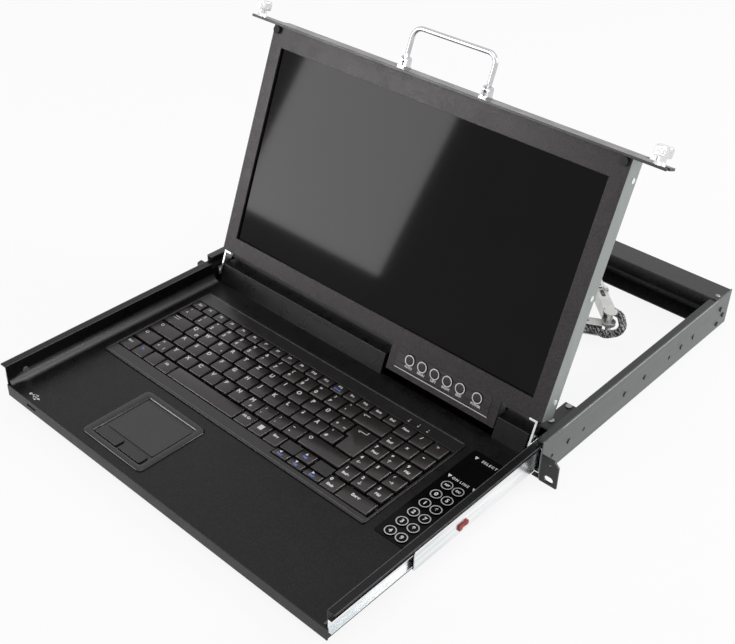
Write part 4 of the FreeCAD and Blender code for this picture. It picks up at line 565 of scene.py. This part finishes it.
edges = bmesh.new()
flange_top = tray_place(33.32)
ridge_top = tray_place(33.12)
for sign in (-1, 1):
    stroke(edges, flange_top, [(sign * 219.9, 1.5), (sign * 219.9, 292)], 0.6)
    stroke(edges, flange_top, [(sign * 212.4, 2.0), (sign * 212.4, 258)], 0.4)
for x0, x1 in ((-202.6, 31.1), (168.4, 202.6)):
    stroke(edges, ridge_top, [(x0, 268.6), (x1, 268.6)], 0.5)
add_piece("sheet_edge_painted_highlights", edges, painted_highlight_grey, "tray")

# Lid screws
# Two low domed screws of zinc plated steel hold the rear channel's lid on the chassis sides. Each has
# a small recess in the middle.

LID = 36.62
screws = bmesh.new()
for x in (-218.3, 218.3):
    dome = ((2.6, 0.0), (2.5, 0.5), (2.0, 0.85), (1.2, 1.05), (0.55, 1.1), (0.3, 0.7))
    rings = [round_ring(screws, Matrix(), x, 321.0, radius, LID + rise, 20) for radius, rise in dome]
    join_rings(screws, rings)
    screws.faces.new(rings[-1])
add_piece("lid_screws", screws, zinc, "chassis", smooth=True)

# Touchpad rim
# The bezel is a ring of black moulded plastic with a rounded crown, clipped into the deck. It falls
# steeply to the pad on its inner side.

low_corner, high_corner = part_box("touchpad_bezel")
ring_outer = (low_corner.x * 1000, low_corner.y * 1000 + 261.5,
              high_corner.x * 1000, high_corner.y * 1000 + 261.5)
ring_inner = (-100.4, 15.4, -30.7, 81.2)
crown = ((-0.07, 12.92), (-0.06, 13.6), (-0.02, 14.1), (0.06, 14.36), (0.2, 14.5), (0.5, 14.56),
         (0.78, 14.5), (0.93, 14.32), (1.03, 13.8), (1.1, 13.1), (1.14, 12.55))
rim = bmesh.new()
grid = []
for share, level in crown:
    left, front, right, rear = [a + (b - a) * share for a, b in zip(ring_outer, ring_inner)]
    radius = 5 - 3.2 * share
    ring = []
    for x, y, start in ((right - radius, rear - radius, 0), (left + radius, rear - radius, 90),
                        (left + radius, front + radius, 180), (right - radius, front + radius, 270)):
        for k in range(9):
            angle = math.radians(start + 90 * k / 8)
            spot = Vector((x + radius * math.cos(angle), y + radius * math.sin(angle), level)) / 1000
            ring.append(rim.verts.new(tray_place(0) @ spot))
    grid.append(ring)
join_rings(rim, grid)
rim_plastic = finish("rim_plastic", grey(0.008), grey(0.016), grain=300, rough=(0.14, 0.2), cloud=80)
add_piece("touchpad_rim", rim, rim_plastic, "tray", smooth=True)

# Folded edges of the tray
# The deck sheet is turned up against both side walls in a wide bend that carries a long soft highlight. Its
# coat is painted lighter than the deck's black coat, a painted highlight added to the one the lamps give.
# The bend is tighter at the front, where the rubber bumpers of the shut screen land.

# Painted highlight: this coat is lighter than the black coat of the same deck sheet.
bend_coat_painted_highlight = powder_coat("bend_coat_painted_highlight", (0.005, 0.0045, 0.0047, 1), (0.042, 0.038, 0.04, 1), rough=0.32,
                        grain=1000, gloss=1.0)
WALL = 211.7
DECK = 12.95
BEND_RADII = ((2.5, 4.8), (8.4, 4.8), (18, 8), (260, 8))
for side, sign in (("left", -1), ("right", 1)):
    cove = bmesh.new()
    rows = []
    for k in range(11):
        angle = math.radians(90 * k / 10)
        row = []
        for y, radius in BEND_RADII:
            x = sign * (WALL - radius + radius * math.sin(angle))
            z = DECK + radius * (1 - math.cos(angle))
            row.append(cove.verts.new(tray_place(0) @ (Vector((x, y, z)) / 1000)))
        rows.append(row)
    for a, b in zip(rows, rows[1:]):
        for i in range(len(BEND_RADII) - 1):
            corners = [a[i], a[i + 1], b[i + 1], b[i]]
            cove.faces.new(corners if sign < 0 else corners[::-1])
    add_piece(side + "_bend", cove, bend_coat_painted_highlight, "tray", smooth=True)

# Rear channel's lower fold
# The channel is one folded steel sheet. Its back wall runs into the lower flange in a bend, which shows
# a soft highlight inside the channel.

BACK_WALL = 342.2
FLANGE = -3.65
FOLD = 6
fold = bmesh.new()
rows = []
for k in range(13):
    angle = math.radians(90 * k / 12)
    y = BACK_WALL - FOLD + FOLD * math.sin(angle)
    z = FLANGE + FOLD * (1 - math.cos(angle))
    rows.append([fold.verts.new(Vector((x, y, z)) / 1000) for x in (-220.5, 220.5)])
for a, b in zip(rows, rows[1:]):
    fold.faces.new([a[0], a[1], b[1], b[0]])
add_piece("channel_fold", fold, channel_coat, "chassis", smooth=True)

# Port panel
# The words and marks are printed on the glossy film. Each round button has a bright moulded ring and
# a printed number, and the two at the back have a short word.

panel_top = tray_place(13.5)
words = [("SELECT", 190.6, 229.4, 4.1), ("ON", 179.6, 194.9, 3.9), ("LINE", 189.6, 194.9, 3.9)]
print_words("port_words", words, panel_top, white_ink, "tray", spacing=1.32, weight=0.03)
signs = bmesh.new()
for x, y in ((176.0, 229.4), (172.8, 195.2), (200.0, 195.2)):
    patch(signs, panel_top, [(x - 2.1, y + 1.7), (x, y - 2.0), (x + 2.1, y + 1.7)])
add_piece("port_marks", signs, white_ink, "tray")
button_top = tray_place(14.6)
RING_OUTER, RING_INNER, RING_RISE, RING_STEPS = 5.5, 4.5, 0.05, 40
numbers = []
signs = bmesh.new()
for row, y in enumerate((183.1, 168.2, 153.3, 138.5, 123.8, 109.1)):
    for column, x in enumerate((179.9, 192.1)):
        ring_print(signs, button_top, x, y, RING_OUTER, RING_INNER, RING_RISE, RING_STEPS)
        if row:
            numbers.append((str(row - 1 + 5 * column), x, y, 5.6))
        else:
            numbers.append(("RST" if column == 0 else "ESC", x, y, 3.0))
silver_ring = finish("silver_ring", grey(0.5), grey(0.62), grain=600, rough=0.35, metal=0.6)
add_piece("port_rings", signs, silver_ring, "port_buttons")
print_words("port_numbers", numbers, button_top, white_ink, "port_buttons")

# Deck mark
# The sign for a USB port, printed in white ink on the deck behind the opening in the front lip. It is
# a forked line with a dot, an arrowhead, a small disc and a square.

signs = bmesh.new()
deck_top = tray_place(12.9)
stroke(signs, deck_top, [(-184.5, 7.8), (-173.5, 7.8)], 0.7)
patch(signs, deck_top, [(-174, 6.3), (-170.8, 7.8), (-174, 9.3)])
ring_print(signs, deck_top, -185, 7.8, 1.5, 0.1)
stroke(signs, deck_top, [(-182.6, 7.8), (-180.2, 10.2), (-177.6, 10.2)], 0.6)
ring_print(signs, deck_top, -177.2, 10.2, 1.0, 0.1)
stroke(signs, deck_top, [(-180.6, 7.8), (-178.2, 5.4), (-175.8, 5.4)], 0.6)
patch(signs, deck_top, [(-176.2, 4.5), (-174.4, 4.5), (-174.4, 6.3), (-176.2, 6.3)])
add_piece("usb_mark", signs, white_ink, "tray")

# Screen button panel
# The words and a fine line are printed on the brushed label. Each of the six round buttons has a bright
# moulded ring.

label_place = screen_place @ Matrix.Translation((0, 0, 0.0055))
menu_places = (61, 76.4, 91.8, 107.1, 122.5)
POWER_PLACE = 142.5
BUTTON_HEIGHT = 17.4
words = [(word, x, 9.9, 3.2) for word, x in zip(("AUTO", "MENU", "LEFT", "RIGHT", "EXIT"), menu_places)]
words.append(("POWER", POWER_PLACE, 9.9, 3.2))
print_words("menu_words", words, label_place, white_ink, "display")
signs = bmesh.new()
stroke(signs, label_place, [(45.4, 4.7), (157.1, 4.7)], 0.8)
add_piece("label_line", signs, white_ink, "display")
cap_place = screen_place @ Matrix.Translation((0, 0, 0.0066))
for name, places, body in (("menu_rings", menu_places, "osd_buttons"),
                           ("power_ring", (POWER_PLACE,), "power_button")):
    signs = bmesh.new()
    for x in places:
        ring_print(signs, cap_place, x, BUTTON_HEIGHT, RING_OUTER, RING_INNER, RING_RISE, RING_STEPS)
    add_piece(name, signs, silver_ring, body)

# Thumbscrew knurls
# A diamond knurl is rolled into the rim of each nickel plated head. It is a thin sleeve of raised points
# in rows that are set half a point apart.

AROUND = 96
ROWS = 7
HEAD_RADIUS, KNURL_RADIUS, KNURL_HEIGHT = 7.22, 7.25, 0.4
HEAD_START, HEAD_LENGTH = 279.8, 7.8
for side, x in (("left", -232.55), ("right", 232.55)):
    sleeve = bmesh.new()
    grid = []
    for k in range(ROWS + 1):
        ring = []
        for i in range(AROUND):
            angle = math.tau * (i + 0.5 * (k % 2)) / AROUND
            radius = KNURL_RADIUS + (KNURL_HEIGHT if i % 2 == 0 else 0)
            if k in (0, ROWS):
                radius = HEAD_RADIUS
            y = HEAD_START + HEAD_LENGTH * k / ROWS
            spot = Vector((x + radius * math.cos(angle), y, 3.2 + radius * math.sin(angle))) / 1000
            ring.append(sleeve.verts.new(screen_place @ spot))
        grid.append(ring)
    join_rings(sleeve, grid)
    bmesh.ops.recalc_face_normals(sleeve, faces=sleeve.faces)
    add_piece(side + "_knurl", sleeve, nickel, side + "_thumbscrew")

# Cable ties
# White nylon ties strap the bundle to the arm's channels. Each is a flat band with a square head and a cut
# tail. The heads stand where the folded arms leave room, above the rear arm and beside the front one.

nylon = finish("nylon", grey(0.7), grey(0.8), grain=400, rough=0.45)


def block(shape, place, low, high):
    """A block between two corners, in millimetres."""
    corners = []
    for x in (low[0], high[0]):
        for y in (low[1], high[1]):
            for z in (low[2], high[2]):
                corners.append(shape.verts.new(place @ (Vector((x, y, z)) / 1000)))
    for face in ((0, 1, 3, 2), (4, 6, 7, 5), (0, 4, 5, 1), (2, 3, 7, 6), (0, 2, 6, 4), (1, 5, 7, 3)):
        shape.faces.new([corners[i] for i in face])


def tie(shape, place, along, low):
    """The band of one tie, round a channel whose lower face is at low."""
    a, b = along - 1.4, along + 1.4
    block(shape, place, (a, -6.9, low - 0.5), (b, -6.1, low + 14.5))
    block(shape, place, (a, 7.3, low - 0.5), (b, 8.1, low + 14.5))
    block(shape, place, (a, -6.1, low + 14.05), (b, 7.3, low + 14.5))
    block(shape, place, (a, -6.1, low - 0.5), (b, 7.3, low - 0.05))


rear_place = Matrix.Translation((0.0383, 0.3285, 0)) @ Matrix.Rotation(math.radians(-42.7315), 4, "Z")
front_place = Matrix.Translation((0.147747, 0.227394, 0)) @ Matrix.Rotation(math.radians(-152.3358), 4, "Z")
REAR_ARM_LOW, FRONT_ARM_LOW = 15.1, -0.4
ties = bmesh.new()
for along in (48, 108):
    tie(ties, rear_place, along, REAR_ARM_LOW)
    block(ties, rear_place, (along - 2.2, 3.0, 29.6), (along + 2.2, 7.0, 32.0))
    block(ties, rear_place, (along - 1.0, 2.2, 30.2), (along + 1.0, 3.0, 33.4))
    block(ties, rear_place, (along - 1.0, -7.0, 32.6), (along + 1.0, 2.2, 33.4))
add_piece("rear_ties", ties, nylon, "rear_arm")
ties = bmesh.new()
for along in (44, 130, 220, 296):
    tie(ties, front_place, along, FRONT_ARM_LOW)
    block(ties, front_place, (along - 2.2, -9.3, 4.6), (along + 2.2, -6.9, 8.6))
    block(ties, front_place, (along - 1.0, -11.2, 5.8), (along + 1.0, -9.3, 6.6))
add_piece("front_ties", ties, nylon, "front_arm")

# Camera
# The camera stands where the photo was taken, at the front right and above. It is tilted a little, as
# the photo is.

PICTURE_WIDTH = 735
FOCAL_LENGTH = 1137.14
SENSOR = 36
camera_data = bpy.data.cameras.new("camera")
camera_data.lens = FOCAL_LENGTH / PICTURE_WIDTH * SENSOR
camera_data.sensor_width = SENSOR
camera = bpy.data.objects.new("camera", camera_data)
bpy.context.scene.collection.objects.link(camera)
azimuth, elevation, roll = math.radians(41.612), math.radians(35.127), math.radians(1.623)
back = Vector((math.sin(azimuth) * math.cos(elevation), -math.cos(azimuth) * math.cos(elevation),
               math.sin(elevation)))
right = Vector((0, 0, 1)).cross(back).normalized()
upward = back.cross(right)
tilted_right = right * math.cos(roll) + upward * math.sin(roll)
tilted_up = upward * math.cos(roll) - right * math.sin(roll)
turn = Matrix((tilted_right, tilted_up, back)).transposed().to_4x4()
camera.matrix_world = Matrix.Translation((0.606626, -0.668574, 0.692287)) @ turn
bpy.context.scene.camera = camera

# Backdrop and floor
# Both are plain and white where they are seen directly. The backdrop gives less light than it shows, and
# the floor keeps the drawer's shadow.

world = bpy.data.worlds.new("world")
bpy.context.scene.world = world
world.use_nodes = True
tree = world.node_tree
ground = tree.nodes["Background"]
ground.inputs["Color"].default_value = (1, 1, 1, 1)


def seen_directly(tree):
    """One for camera, glossy and transmission rays, and nought for the rest."""
    path = tree.nodes.new("ShaderNodeLightPath")
    total = path.outputs["Is Camera Ray"]
    for kind in ("Is Glossy Ray", "Is Transmission Ray"):
        add = tree.nodes.new("ShaderNodeMath")
        add.operation = "MAXIMUM"
        tree.links.new(total, add.inputs[0])
        tree.links.new(path.outputs[kind], add.inputs[1])
        total = add.outputs["Value"]
    return total


strength = tree.nodes.new("ShaderNodeMapRange")
strength.inputs["To Min"].default_value = 0.45
strength.inputs["To Max"].default_value = 1.0
tree.links.new(seen_directly(tree), strength.inputs["Value"])
tree.links.new(strength.outputs["Result"], ground.inputs["Strength"])

FLOOR_HALF = 3.0
FLOOR_GAP = 0.002
mesh = bpy.data.meshes.new("floor")
level = cad_box[0].z - FLOOR_GAP
corners = [(x * FLOOR_HALF, y * FLOOR_HALF, level) for x, y in ((-1, -1), (1, -1), (1, 1), (-1, 1))]
mesh.from_pydata(corners, [], [(0, 1, 2, 3)])
floor = bpy.data.objects.new("floor", mesh)
bpy.context.scene.collection.objects.link(floor)
material, tree, shader = new_material("floor")
shader.inputs["Base Color"].default_value = (0.85, 0.85, 0.85, 1)
shader.inputs["Roughness"].default_value = 0.8
glow = tree.nodes.new("ShaderNodeEmission")
glow.inputs["Strength"].default_value = 1.0
blend = tree.nodes.new("ShaderNodeMixShader")
blend.inputs["Fac"].default_value = 0.0
tree.links.new(shader.outputs["BSDF"], blend.inputs[1])
tree.links.new(glow.outputs["Emission"], blend.inputs[2])
amount = tree.nodes.new("ShaderNodeMath")
amount.operation = "MULTIPLY"
amount.inputs[1].default_value = 0.88
tree.links.new(seen_directly(tree), amount.inputs[0])
tree.links.new(amount.outputs["Value"], blend.inputs["Fac"])
tree.links.new(blend.outputs["Shader"], tree.nodes["Material Output"].inputs["Surface"])
mesh.materials.append(material)

# Lamps
# Three large soft lamps. The one at the front left shows in the screen as the grey area with a slanting
# edge, the one behind lights the zinc sides, and the one above fills the keyboard.


def lamp(name, place, aim, width, height, power):
    data = bpy.data.lights.new(name, "AREA")
    data.shape = "RECTANGLE"
    data.size, data.size_y, data.energy = width, height, power
    light = bpy.data.objects.new(name, data)
    light.location = place
    light.rotation_mode = "QUATERNION"
    light.rotation_quaternion = (Vector(aim) - Vector(place)).to_track_quat("-Z", "Y")
    bpy.context.scene.collection.objects.link(light)
    return light


lamp("front_left", (-1.69, -2.0, 0.9), (-1.0, 0, 0.75), 0.56, 1.6, 24)
lamp("rear_right", (2.0, 1.7, 1.2), (0, 0, 0.1), 1.1, 1.1, 42)
lamp("top", (0.2, -0.4, 2.3), (0, 0, 0), 1.8, 1.8, 13)

bpy.context.scene.view_settings.view_transform = "Standard"
